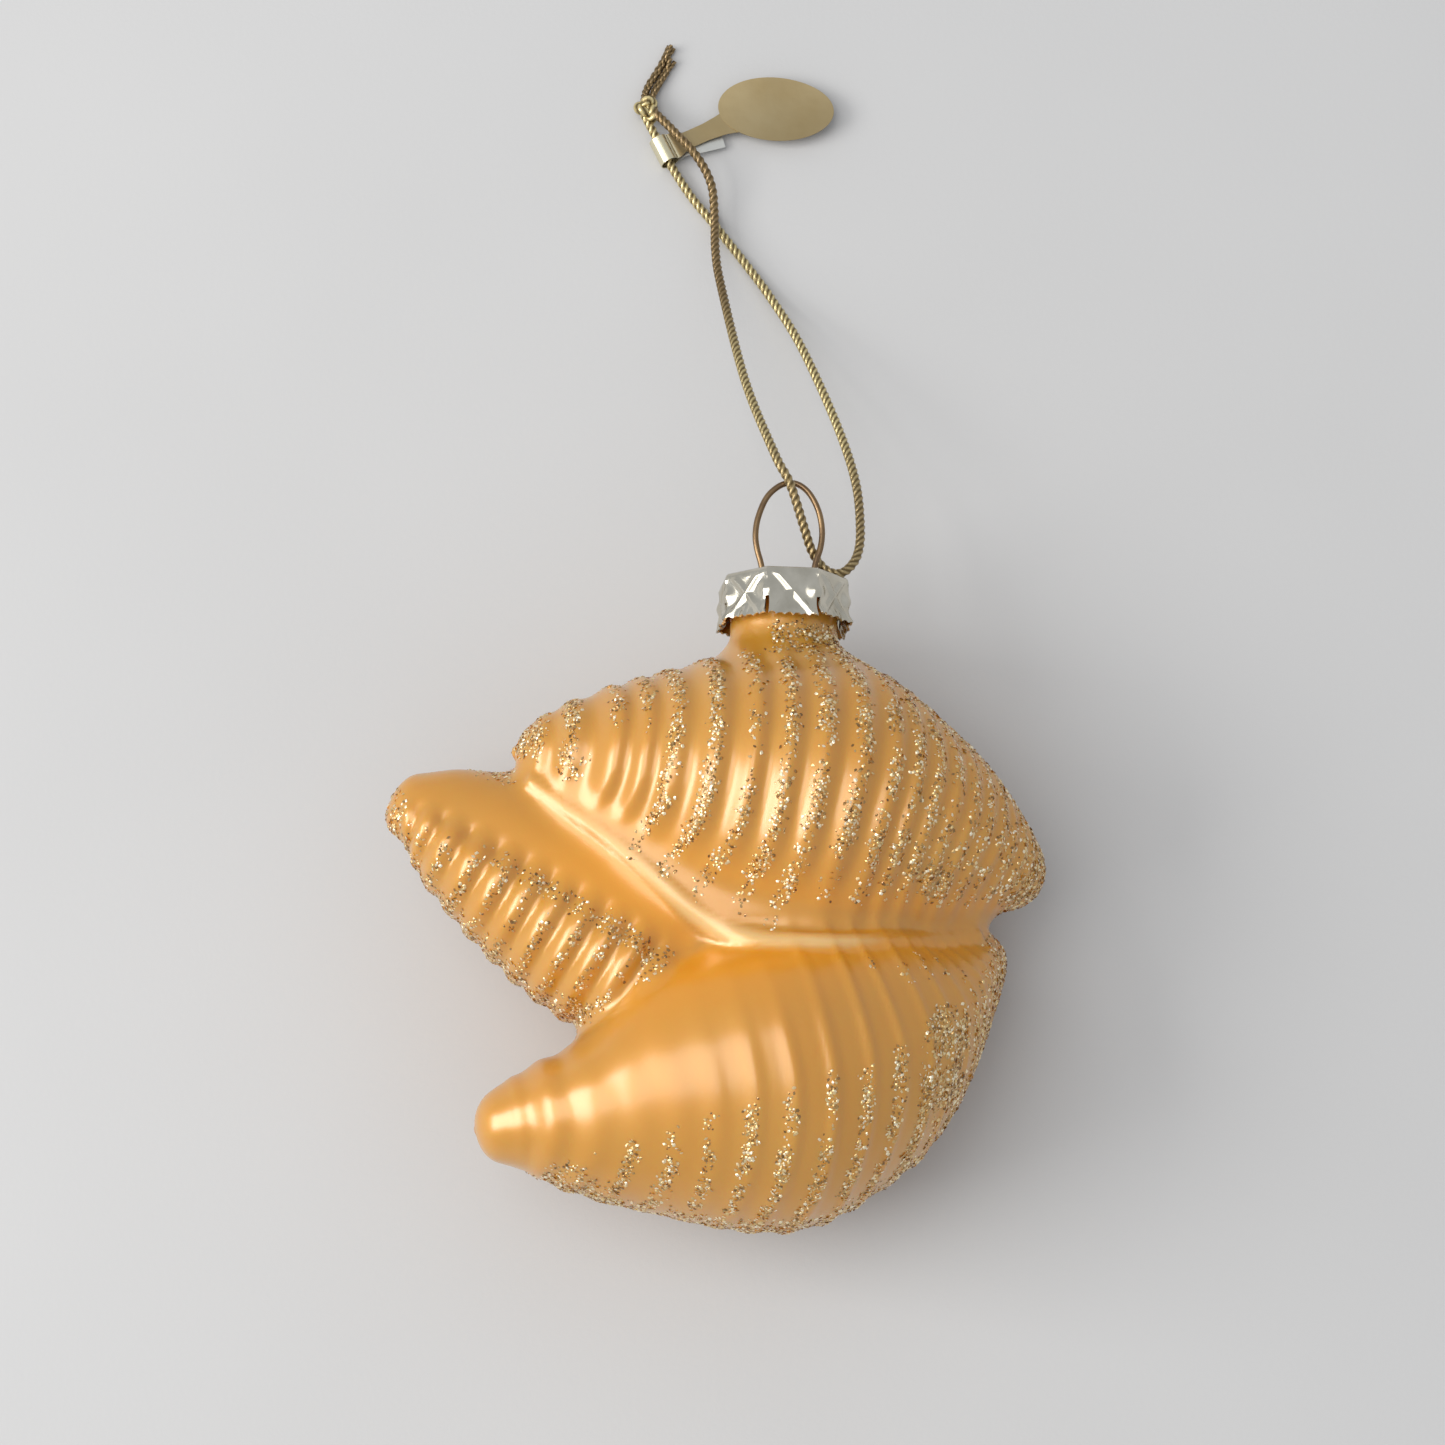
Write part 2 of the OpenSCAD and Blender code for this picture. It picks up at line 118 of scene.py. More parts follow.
def moving_mean(values: np.ndarray, half: int) -> np.ndarray:
    """Even out a row of numbers over so many neighbours on each side."""
    wide = 2 * half + 1
    return np.convolve(np.pad(values, half, mode="edge"), np.ones(wide) / wide, mode="valid")


def blend_min(a: np.ndarray, b: np.ndarray, fillet: float) -> np.ndarray:
    """Join two implicit shapes with a rounded inner corner.

    Args:
        a: Distances to the first shape.
        b: Distances to the second shape.
        fillet: Width of the rounding.

    Returns:
        Distances to the joined shape.
    """
    near = np.maximum(fillet - np.abs(a - b), 0.0) / fillet
    return np.minimum(a, b) - near * near * fillet / 4.0


def curve_through(points: Sequence[Sequence[float]], places: np.ndarray) -> np.ndarray:
    """Follow a smooth curve through a list of rows.

    Args:
        points: The rows that the curve goes through.
        places: Places along the curve, from 0 to 1, spaced evenly from row to row.

    Returns:
        One row for each place.
    """
    rows = np.asarray(points, float)
    padded = np.vstack([2 * rows[0] - rows[1], rows, 2 * rows[-1] - rows[-2]])
    last = len(rows) - 1
    index = np.minimum((places * last).astype(int), last - 1)
    f = (places * last - index)[:, None]
    p, q, r, s = (padded[index + k] for k in range(4))
    return 0.5 * (2 * q + (r - p) * f + (2 * p - 5 * q + 4 * r - s) * f**2 + (3 * q - p - 3 * r + s) * f**3)


def chain_distance(points: Points, route: np.ndarray, radii: np.ndarray) -> np.ndarray:
    """Measure how far points are from a tapered round chain.

    Args:
        points: Where to measure.
        route: The middle of the chain.
        radii: Its radius at each point of the route.

    Returns:
        Distances, negative inside.
    """
    best = np.full(len(points), np.inf)
    for a, b, ra, rb in zip(route[:-1], route[1:], radii[:-1], radii[1:]):
        run = b - a
        t = np.clip((points - a) @ run / (run @ run), 0.0, 1.0)
        away = np.linalg.norm(points - a - t[:, None] * run, axis=1)
        best = np.minimum(best, away - ra - t * (rb - ra))
    return best


# Node trees


class Value:
    """A socket of a node tree that takes part in arithmetic."""

    def __init__(self, tree: "NodeTree", socket: bpy.types.NodeSocket) -> None:
        """Wrap one output socket of a tree."""
        self.tree = tree
        self.socket = socket

    def _math(self, operation: str, first: Any, second: Any) -> "Value":
        """Add one Math node."""
        made = self.tree.node("ShaderNodeMath", {"operation": operation}, {0: first, 1: second})
        return self.tree.out(made)

    def __add__(self, other: Any) -> "Value":
        """Add a value or a number."""
        return self._math("ADD", self, other)

    __radd__ = __add__

    def __sub__(self, other: Any) -> "Value":
        """Take a value or a number away."""
        return self._math("SUBTRACT", self, other)

    def __rsub__(self, other: Any) -> "Value":
        """Take this value away from a number."""
        return self._math("SUBTRACT", other, self)

    def __mul__(self, other: Any) -> "Value":
        """Multiply by a value or a number."""
        return self._math("MULTIPLY", self, other)

    __rmul__ = __mul__

    def __truediv__(self, other: Any) -> "Value":
        """Divide by a value or a number."""
        return self._math("DIVIDE", self, other)

    def wave(self) -> "Value":
        """Give the sine of this value."""
        return self._math("SINE", self, 0.0)


class NodeTree:
    """A shader or geometry node tree that is filled by one method."""

    def __init__(self, tree: bpy.types.NodeTree) -> None:
        """Start with an empty tree."""
        self.tree = tree
        tree.nodes.clear()

    def node(self, kind: str, settings: dict | None = None, inputs: dict | None = None) -> bpy.types.Node:
        """Add a node.

        Args:
            kind: The node's type.
            settings: Its settings, where stops are a colour ramp's places and colours.
            inputs: Values or links for its sockets, by name or number.

        Returns:
            The new node.
        """
        made = self.tree.nodes.new(kind)
        for key, value in (settings or {}).items():
            if key == "stops":
                self._set_stops(made.color_ramp, value)
            else:
                setattr(made, key, value)
        for key, value in (inputs or {}).items():
            socket = made.inputs[key] if isinstance(key, int) else self._shown(made.inputs, key)
            if isinstance(value, Value):
                self.tree.links.new(value.socket, socket)
            else:
                socket.default_value = value
        return made

    def out(self, node: bpy.types.Node, key: Any = 0) -> Value:
        """Give one output of a node."""
        return Value(self, node.outputs[key] if isinstance(key, int) else self._shown(node.outputs, key))

    @staticmethod
    def _shown(sockets: Any, name: str) -> bpy.types.NodeSocket:
        """Find the socket of that name which the node's settings show."""
        return next(socket for socket in sockets if socket.name == name and socket.enabled)

    @staticmethod
    def _set_stops(ramp: bpy.types.ColorRamp, stops: Sequence[tuple[float, tuple]]) -> None:
        """Give a colour ramp its stops.

        Args:
            ramp: The ramp of a new node.
            stops: A place and a colour for each stop.
        """
        while len(ramp.elements) < len(stops):
            ramp.elements.new(1.0)
        for element, (place, colour) in zip(ramp.elements, stops):
            element.position = place
            element.color = (*colour, 1.0)


class Shade(NodeTree):
    """A material's node tree, with the patterns that the finishes share."""

    def __init__(self, name: str) -> None:
        """Make a material.

        Args:
            name: The material's name.
        """
        self.material = bpy.data.materials.new(name)
        self.material.use_nodes = True
        super().__init__(self.material.node_tree)

    def place(self) -> Value:
        """Give the Object coordinates, in metres."""
        return self.out(self.node("ShaderNodeTexCoord"), "Object")

    def attribute(self, name: str) -> Value:
        """Give a number that the mesh holds at its points."""
        return self.out(self.node("ShaderNodeAttribute", {"attribute_name": name}), "Fac")

    def noise(self, size_mm: float, detail: float = 2.0, stretch: Sequence[float] | None = None) -> Value:
        """Give soft noise whose lumps have about that size.

        Args:
            size_mm: Size of a lump.
            detail: How many finer layers it has.
            stretch: How much finer it is along X, Y and Z.

        Returns:
            Values about 0.5.
        """
        vector = self.place()
        if stretch is not None:
            vector = self.out(self.node("ShaderNodeMapping", inputs={"Vector": vector, "Scale": stretch}))
        scale = 1.0 / (size_mm * MM)
        made = self.node("ShaderNodeTexNoise", inputs={"Vector": vector, "Scale": scale, "Detail": detail})
        return self.out(made, "Fac")

    def ramp(self, value: Value, stops: Sequence[tuple[float, tuple]]) -> Value:
        """Turn a number into a colour by stops."""
        return self.out(self.node("ShaderNodeValToRGB", {"stops": stops}, {"Fac": value}), "Color")

    def mix(self, share: Value, first: Any, second: Any) -> Value:
        """Mix two colours.

        Args:
            share: How much of the second colour shows.
            first: A colour, or a value that holds one.
            second: A colour, or a value that holds one.

        Returns:
            The mixed colour.
        """
        a, b = (c if isinstance(c, Value) else (*c, 1.0) for c in (first, second))
        made = self.node("ShaderNodeMix", {"data_type": "RGBA"}, {"Factor": share, "A": a, "B": b})
        return self.out(made, "Result")

    def bump(self, height: Value, depth_mm: float, strength: float = 1.0) -> Value:
        """Turn a height into a normal."""
        inputs = {"Height": height, "Distance": depth_mm * MM, "Strength": strength}
        return self.out(self.node("ShaderNodeBump", inputs=inputs))

    def finish(self, **sockets: Any) -> bpy.types.Material:
        """Close the material with one Principled shader.

        Args:
            sockets: Its inputs, with underscores for spaces.

        Returns:
            The material.
        """
        inputs = {key.replace("_", " "): value for key, value in sockets.items()}
        shader = self.node("ShaderNodeBsdfPrincipled", inputs=inputs)
        self.node("ShaderNodeOutputMaterial", inputs={"Surface": self.out(shader)})
        return self.material


class GeometryTree(NodeTree):
    """A geometry node tree with named inputs that ends in one plain mesh."""

    def __init__(self, name: str, inputs: dict[str, str]) -> None:
        """Make a tree.

        Args:
            name: The tree's name.
            inputs: The kind of each input besides Geometry and Material, by name.
        """
        super().__init__(bpy.data.node_groups.new(name, "GeometryNodeTree"))
        interface = self.tree.interface
        interface.new_socket("Geometry", in_out="OUTPUT", socket_type="NodeSocketGeometry")
        for label, kind in {"Geometry": "Geometry", **inputs, "Material": "Material"}.items():
            interface.new_socket(label, in_out="INPUT", socket_type=f"NodeSocket{kind}")
        self.given = self.node("NodeGroupInput")

    def taken(self, name: str) -> Value:
        """Give one of the tree's inputs."""
        return self.out(self.given, name)

    def step(
        self, kind: str, settings: dict | None = None, inputs: dict | None = None, key: Any = 0
    ) -> Value:
        """Add a node and give one of its outputs."""
        return self.out(self.node(kind, settings, inputs), key)

    def close(self, geometry: Value) -> None:
        """End the tree with one mesh in its material.

        Args:
            geometry: What the tree has made so far.
        """
        plain = self.step("GeometryNodeRealizeInstances", inputs={"Geometry": geometry})
        finish = {"Geometry": plain, "Material": self.taken("Material")}
        dressed = self.step("GeometryNodeSetMaterial", inputs=finish)
        self.node("NodeGroupOutput", inputs={"Geometry": dressed})

    def run(self, piece: bpy.types.Object, smooth: bool, **values: Any) -> None:
        """Turn a piece into the tree's mesh.

        Args:
            piece: The piece that the tree starts from.
            smooth: Whether the result is shaded smooth.
            values: The tree's inputs, by name.
        """
        modifier = piece.modifiers.new(self.tree.name, "NODES")
        modifier.node_group = self.tree
        for item in self.tree.interface.items_tree:
            if item.in_out == "INPUT" and item.name in values:
                modifier[item.identifier] = values[item.name]
        bake(piece)
        piece.data.polygons.foreach_set("use_smooth", [smooth] * len(piece.data.polygons))


class SweepTree(GeometryTree):
    """Sweeps a lobed section along a piece's edges, turning as twisted plies do."""

    def __init__(self) -> None:
        """Build the tree."""
        sizes = dict.fromkeys(("Radius", "Plies", "Depth", "Pitch", "Spacing"), "Float")
        super().__init__("sweep", {**sizes, "Sides": "Int"})
        swept = {"Curve": self._line(), "Profile Curve": self._ring(), "Fill Caps": True}
        self.close(self.step("GeometryNodeCurveToMesh", inputs=swept))

    def _line(self) -> Value:
        """Follow the piece's edges at an even spacing, tilted as the plies turn.

        Returns:
            The line to sweep along.
        """
        line = self.step("GeometryNodeMeshToCurve", inputs={"Mesh": self.taken("Geometry")})
        even = {"Curve": line, "Length": self.taken("Spacing")}
        line = self.step("GeometryNodeResampleCurve", {"mode": "LENGTH"}, even)
        turn = self.step("GeometryNodeSplineParameter", key="Length") / self.taken("Pitch") * math.tau
        return self.step("GeometryNodeSetCurveTilt", inputs={"Curve": line, "Tilt": turn})

    def _ring(self) -> Value:
        """Draw the section, which swells at each ply and stores how deep it is in a groove.

        Returns:
            The closed section.
        """
        round_one = {"Resolution": self.taken("Sides"), "Radius": self.taken("Radius")}
        ring = self.step("GeometryNodeCurvePrimitiveCircle", inputs=round_one)
        around = self.step("GeometryNodeSplineParameter", key="Factor") * self.taken("Plies") * math.tau
        swell = around.wave()
        grown = {0: self.step("GeometryNodeInputPosition"), "Scale": 1.0 + swell * self.taken("Depth")}
        place = self.step("ShaderNodeVectorMath", {"operation": "SCALE"}, grown)
        ring = self.step("GeometryNodeSetPosition", inputs={"Geometry": ring, "Position": place})
        # how deep each point lies in a groove, which the yarn's finish darkens as painted shade
        groove = {"Geometry": ring, "Name": "groove", "Value": 0.5 - 0.5 * swell}
        return self.step("GeometryNodeStoreNamedAttribute", {"data_type": "FLOAT", "domain": "POINT"}, groove)


class ScatterTree(GeometryTree):
    """Scatters small flat flakes over a piece, as thickly as its share says."""

    sides: int = 5
    flatness: float = 0.3
    sizes: tuple = (0.55, 1.25)

    def __init__(self) -> None:
        """Build the tree."""
        super().__init__("scatter", dict.fromkeys(("Density", "Gap", "Flake", "Tilt"), "Float"))
        spread = self._spread()
        flakes = {
            "Points": self.out(spread, "Points"),
            "Instance": self._flake(),
            "Rotation": self._turn(self.out(spread, "Rotation")),
            "Scale": self._random(*self.sizes, SEED + 4),
        }
        laid = self.step("GeometryNodeInstanceOnPoints", inputs=flakes)
        tone = {"Geometry": laid, "Name": "tone", "Value": self._random(0.0, 1.0, SEED + 5)}
        each = {"data_type": "FLOAT", "domain": "INSTANCE"}
        self.close(self.step("GeometryNodeStoreNamedAttribute", each, tone))

    def _random(self, low: float, high: float, seed: int) -> Value:
        """Give each flake a number between two bounds."""
        bounds = {"Min": low, "Max": high, "Seed": seed}
        return self.step("FunctionNodeRandomValue", {"data_type": "FLOAT"}, bounds, "Value")

    def _spread(self) -> bpy.types.Node:
        """Spread points over the piece's faces.

        Returns:
            The node that gives the points and their rotations.
        """
        named = {"Name": "share"}
        share = self.step("GeometryNodeInputNamedAttribute", {"data_type": "FLOAT"}, named, "Attribute")
        inputs = {
            "Mesh": self.taken("Geometry"),
            "Distance Min": self.taken("Gap"),
            "Density Max": self.taken("Density"),
            "Density Factor": share,
            "Seed": SEED,
        }
        return self.node("GeometryNodeDistributePointsOnFaces", {"distribute_method": "POISSON"}, inputs)

    def _turn(self, flat: Value) -> Value:
        """Tip and spin each flake by chance.

        Args:
            flat: The rotation of a flake that lies flat.

        Returns:
            The rotation of the tipped flake.
        """
        tilt = self.taken("Tilt")
        lean, roll = (self._random(-1.0, 1.0, SEED + n) * tilt for n in (1, 2))
        spin = self._random(0.0, math.tau, SEED + 3)
        angles = self.step("ShaderNodeCombineXYZ", inputs={"X": lean, "Y": roll, "Z": spin})
        tipped = self.step("FunctionNodeEulerToRotation", inputs={"Euler": angles})
        turned = {"Rotation": flat, "Rotate By": tipped}
        return self.step("FunctionNodeRotateRotation", {"rotation_space": "LOCAL"}, turned)

    def _flake(self) -> Value:
        """Make one flat flake.

        Returns:
            Its mesh.
        """
        ball = {"Segments": self.sides, "Rings": 2, "Radius": self.taken("Flake")}
        flake = self.step("GeometryNodeMeshUVSphere", inputs=ball)
        pressed = {"Geometry": flake, "Scale": (1.0, 1.0, self.flatness)}
        return self.step("GeometryNodeTransform", inputs=pressed)


# Finishes


@dataclass(frozen=True)
class PearlGlass:
    """Satin orange-gold lacquer over thin glass, with a painted glow deeper in the hollows and a painted
    highlight paler on the lip.
    """

    gold: tuple = (0.63, 0.27, 0.018)
    pale: tuple = (0.63, 0.31, 0.04)
    # painted glow: the saturated orange of light bounced round the valley's hollows
    deep: tuple = (0.82, 0.33, 0.004)
    # painted highlight along the lip
    painted_lip_highlight: tuple = (0.84, 0.54, 0.21)
    glow: tuple = (1.0, 0.42, 0.08)

    def material(self) -> bpy.types.Material:
        """Build the finish.

        Returns:
            Its material.
        """
        shade = Shade("pearl_glass")
        mottle = shade.noise(size_mm=9.0, detail=3.0)
        colour = shade.mix(mottle * 1.2 - 0.25, self.gold, self.pale)
        # painted glow on the faces round the valley
        colour = shade.mix(shade.attribute("deep"), colour, self.deep)
        # painted highlight along the lip
        colour = shade.mix(shade.attribute("painted_lip_highlight"), colour, self.painted_lip_highlight)
        grain = shade.noise(size_mm=0.35, detail=2.0)
        return shade.finish(
            Base_Color=colour,
            Roughness=0.4 + mottle * 0.06,
            Metallic=0.25,
            Specular_IOR_Level=0.15,
            Subsurface_Weight=0.45,
            Subsurface_Radius=self.glow,
            Subsurface_Scale=0.004,
            Coat_Weight=1.0,
            Coat_Roughness=0.26,
            Coat_IOR=1.75,
            Normal=shade.bump(grain, depth_mm=0.02, strength=0.3),
        )


@dataclass(frozen=True)
class Glitter:
    """Loose flakes from brown and bronze to gold and pale straw."""

    stops: tuple = (
        (0.0, (0.22, 0.11, 0.03)),
        (0.25, (0.50, 0.30, 0.10)),
        (0.6, (0.84, 0.62, 0.28)),
        (1.0, (0.98, 0.90, 0.68)),
    )

    def material(self) -> bpy.types.Material:
        """Build the finish.

        Returns:
            Its material.
        """
        shade = Shade("glitter")
        tone = shade.attribute("tone")
        return shade.finish(
            Base_Color=shade.ramp(tone, self.stops),
            Roughness=0.16 + tone * 0.2,
            Metallic=0.8,
            Coat_Weight=0.5,
        )


@dataclass(frozen=True)
class StampedTin:
    """Bright thin sheet, a little dull and warm where it has been handled."""

    bright: tuple = (0.72, 0.68, 0.58)
    dull: tuple = (0.42, 0.39, 0.31)

    def material(self) -> bpy.types.Material:
        """Build the finish.

        Returns:
            Its material.
        """
        shade = Shade("stamped_tin")
        cloud = shade.noise(size_mm=2.5, detail=4.0)
        scratch = shade.noise(size_mm=0.25, detail=2.0, stretch=(1.0, 6.0, 1.0))
        return shade.finish(
            Base_Color=shade.mix(cloud * 1.4 - 0.35, self.bright, self.dull),
            Roughness=0.12 + cloud * 0.16,
            Metallic=1.0,
            Normal=shade.bump(scratch, depth_mm=0.02, strength=0.3),
        )


@dataclass(frozen=True)
class BronzedWire:
    """Spring wire with a brown bronze colour."""

    brown: tuple = (0.17, 0.105, 0.065)
    bronze: tuple = (0.36, 0.24, 0.12)

    def material(self) -> bpy.types.Material:
        """Build the finish.

        Returns:
            Its material.
        """
        shade = Shade("bronzed_wire")
        cloud = shade.noise(size_mm=1.6, detail=3.0)
        return shade.finish(
            Base_Color=shade.mix(cloud * 1.6 - 0.3, self.brown, self.bronze),
            Roughness=0.22 + cloud * 0.16,
            Metallic=1.0,
        )


@dataclass(frozen=True)
class MetallicYarn:
    """Gold yarn, with painted shade between its plies, and duller in stretches."""

    gold: tuple = (0.95, 0.79, 0.40)
    dull: tuple = (0.36, 0.25, 0.13)
    shadow: tuple = (0.13, 0.085, 0.03)

    def material(self) -> bpy.types.Material:
        """Build the finish.

        Returns:
            Its material.
        """
        shade = Shade("metallic_yarn")
        fibre = shade.noise(size_mm=0.16, detail=3.0)
        colour = shade.mix(shade.attribute("dull"), self.gold, self.dull)
        # painted shade in the grooves between the plies
        colour = shade.mix(shade.attribute("groove"), colour, self.shadow)
        return shade.finish(
            Base_Color=colour,
            Roughness=0.2 + fibre * 0.2,
            Metallic=0.75,
            Normal=shade.bump(fibre, depth_mm=0.05, strength=0.7),
        )


@dataclass(frozen=True)
class GoldFoil:
    """Satin gold foil with a bright silver back."""

    gold: tuple = (0.39, 0.29, 0.14)
    worn: tuple = (0.46, 0.37, 0.21)
    silver: tuple = (0.70, 0.70, 0.66)
    pale: tuple = (0.74, 0.68, 0.48)

    def material(self) -> bpy.types.Material:
        """Build the finish.

        Returns:
            Its material.
        """
        shade = Shade("gold_foil")
        cloud = shade.noise(size_mm=5.0, detail=3.0)
        crease = shade.noise(size_mm=1.4, detail=2.0)
        colour = shade.mix(cloud * 1.5 - 0.3, self.gold, self.worn)
        bright = shade.attribute("bright")
        colour = shade.mix(shade.attribute("silver"), colour, self.silver)
        return shade.finish(
            Base_Color=shade.mix(bright, colour, self.pale),
            Roughness=0.36 - 0.14 * bright + cloud * 0.06,
            Metallic=0.85,
            Normal=shade.bump(crease, depth_mm=0.06, strength=0.3),
        )


@dataclass(frozen=True)
class PaleCloth:
    """A plain pale table cover."""

    light: tuple = (0.60, 0.595, 0.59)
    shadow: tuple = (0.55, 0.545, 0.54)

    def material(self) -> bpy.types.Material:
        """Build the finish.

        Returns:
            Its material.
        """
        shade = Shade("pale_cloth")
        cloud = shade.noise(size_mm=60.0, detail=2.0)
        weave = shade.noise(size_mm=0.5, detail=2.0)
        return shade.finish(
            Base_Color=shade.mix(cloud, self.light, self.shadow),
            Roughness=0.85,
            Normal=shade.bump(weave, depth_mm=0.05, strength=0.25),
        )


# Meshes


def make_piece(name: str, points_mm: np.ndarray, faces: Any) -> bpy.types.Object:
    """Make a smooth mesh object from millimetres, at the origin of the CAD's frame.

    Args:
        name: The piece's name.
        points_mm: Its points from the neck's axis.
        faces: Lists of point numbers.

    Returns:
        The object, linked to the scene.
    """
    mesh = bpy.data.meshes.new(name)
    mesh.from_pydata(to_frame(points_mm).tolist(), [], [list(map(int, f)) for f in faces])
    mesh.polygons.foreach_set("use_smooth", [True] * len(mesh.polygons))
    piece = bpy.data.objects.new(name, mesh)
    bpy.context.scene.collection.objects.link(piece)
    return piece


def make_lines(name: str, lines_mm: Sequence[np.ndarray]) -> bpy.types.Object:
    """Make a piece of edges only, for the sweep to follow.

    Args:
        name: The piece's name.
        lines_mm: The points of each line.

    Returns:
        The object, linked to the scene.
    """
    mesh = bpy.data.meshes.new(name)
    first = np.cumsum([0] + [len(line) for line in lines_mm])
    edges = [(int(a) + n, int(a) + n + 1) for a, line in zip(first, lines_mm) for n in range(len(line) - 1)]
    mesh.from_pydata(to_frame(np.vstack(lines_mm)).tolist(), edges, [])
    piece = bpy.data.objects.new(name, mesh)
    bpy.context.scene.collection.objects.link(piece)
    return piece


def set_numbers(piece: bpy.types.Object, name: str, values: np.ndarray) -> None:
    """Store one number for each point of a piece."""
    attribute = piece.data.attributes.new(name, "FLOAT", "POINT")
    attribute.data.foreach_set("value", np.asarray(values, np.float32))


def read_rows(items: Any, name: str, columns: int) -> np.ndarray:
    """Read one property of a mesh as rows of numbers.

    Args:
        items: The mesh's points, edges, corners or faces.
        name: The property.
        columns: How many numbers it has.

    Returns:
        One row for each item.
    """
    values = np.empty(len(items) * columns)
    items.foreach_get(name, values)
    return values.reshape(-1, columns)


def bake(piece: bpy.types.Object) -> None:
    """Apply a piece's modifiers to its mesh.

    Args:
        piece: The piece, which keeps no modifier.
    """
    graph = bpy.context.evaluated_depsgraph_get()
    mesh = bpy.data.meshes.new_from_object(piece.evaluated_get(graph))
    piece.modifiers.clear()
    piece.data = mesh


def thicken(piece: bpy.types.Object, thickness_mm: float, offset: float, crease: float) -> None:
    """Give a thin sheet its thickness.

    Args:
        piece: A piece that is one layer of faces.
        thickness_mm: How thick the sheet is.
        offset: -1 thickens it inwards, 0 to both sides.
        crease: The angle past which an edge stays sharp.
    """
    sheet = piece.modifiers.new("sheet", "SOLIDIFY")
    sheet.thickness = thickness_mm * MM
    sheet.offset = offset
    bake(piece)
    piece.data.set_sharp_from_angle(angle=math.radians(crease))


def dress(piece: bpy.types.Object, material: bpy.types.Material) -> None:
    """Give a piece one material."""
    piece.data.materials.clear()
    piece.data.materials.append(material)


def hand_over(piece: bpy.types.Object, body: Body | None, nodes: Sequence[str]) -> None:
    """Tell the frame what a piece rides on and stands for.

    Args:
        piece: The finished piece.
        body: The body that it rides on, or None to leave it without one.
        nodes: The CAD nodes that it replaces.
    """
    if body is not None:
        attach(piece, body.value)
    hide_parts(*nodes)
    LOG.info("%s: %d faces", piece.name, len(piece.data.polygons))


def grid_faces(rows: int, columns: int, closed: bool) -> list[tuple[int, int, int, int]]:
    """List the faces of a grid of points.

    Args:
        rows: Rows of points.
        columns: Points in a row.
        closed: Whether each row runs round to its start.

    Returns:
        Faces of four point numbers.
    """
    faces = []
    for row in range(rows - 1):
        for here in range(columns if closed else columns - 1):
            ahead = (here + 1) % columns
            low, high = row * columns, (row + 1) * columns
            faces.append((low + here, low + ahead, high + ahead, high + here))
    return faces


def crossing_mean(at: dict[tuple[int, int, int], np.ndarray]) -> np.ndarray:
    """Average the places where the surface crosses the edges of each cell.

    Args:
        at: The distances at each corner of the cells.

    Returns:
        One point in each cell, in shares of the cell.
    """
    count = len(at[0, 0, 0])
    total, hits = np.zeros((count, 3)), np.zeros(count)
    for a in at:
        for axis in (n for n in range(3) if a[n] == 0):
            b = tuple(v + (n == axis) for n, v in enumerate(a))
            crossed = (at[a] < 0) != (at[b] < 0)
            share = np.where(crossed, at[a] / np.where(crossed, at[a] - at[b], 1.0), 0.0)
            spot = np.array(a, float) + share[:, None] * np.eye(3)[axis]
            total += spot * crossed[:, None]
            hits += crossed
    return total / hits[:, None]


def net_faces(inside: np.ndarray, number: np.ndarray) -> np.ndarray:
    """Join the four cells round each edge of the grid that the surface crosses.

    Args:
        inside: Which points of the grid are inside.
        number: The number of each cell's point.

    Returns:
        Faces of four point numbers, pointing outwards.
    """
    faces = []
    for axis in range(3):
        i, j = (n for n in range(3) if n != axis)
        before, after = [slice(1, -1)] * 3, [slice(1, -1)] * 3
        before[axis], after[axis] = slice(0, -1), slice(1, None)
        first, second = inside[tuple(before)], inside[tuple(after)]
        edges = np.argwhere(first != second)
        leaving = first[tuple(edges.T)]
        base = edges + (np.arange(3) != axis)
        ring = []
        for back_i, back_j in ((1, 1), (0, 1), (0, 0), (1, 0)):
            cell = base.copy()
            cell[:, i] -= back_i
            cell[:, j] -= back_j
            ring.append(number[tuple(cell.T)])
        quad = np.stack(ring, axis=1)
        outward = leaving if axis != 1 else ~leaving
        faces.append(np.where(outward[:, None], quad, quad[:, ::-1]))
    return np.vstack(faces)


def surface_net(values: np.ndarray, low: np.ndarray, step: np.ndarray) -> tuple[np.ndarray, np.ndarray]:
    """Turn distances on a grid into a closed mesh of four-sided faces.

    Args:
        values: Distances at the grid's points, negative inside.
        low: The grid's first point.
        step: The grid's spacing along X, Y and Z.

    Returns:
        Points and faces.
    """
    shape = np.array(values.shape) - 1
    corners = [(i, j, k) for i in (0, 1) for j in (0, 1) for k in (0, 1)]
    part = {c: values[tuple(slice(o, o + n) for o, n in zip(c, shape))] for c in corners}
    count = sum((part[c] < 0).astype(int) for c in corners)
    cells = np.argwhere((count > 0) & (count < len(corners)))
    number = np.full(shape, -1)
    number[tuple(cells.T)] = np.arange(len(cells))
    at = {c: part[c][tuple(cells.T)] for c in corners}
    points = low + (cells + crossing_mean(at)) * step
    return points, net_faces(values < 0, number)


# Cord


@dataclass(frozen=True)
class Strand:
    """The section of a strand: its radius, how finely it is swept, and its twisted plies."""

    radius: float
    spacing: float
    sides: int
    plies: float = 1.0
    depth: float = 0.0
    pitch: float = 1000.0

    def sweep(self, tree: SweepTree, piece: bpy.types.Object, material: bpy.types.Material) -> None:
        """Sweep the strand along a piece's lines.

        Args:
            tree: The tree that sweeps.
            piece: A piece of lines, which becomes a mesh.
            material: Its finish.
        """
        tree.run(
            piece, True, Radius=self.radius * MM, Plies=self.plies, Depth=self.depth, Pitch=self.pitch * MM,
            Spacing=self.spacing * MM, Sides=self.sides, Material=material,
        )


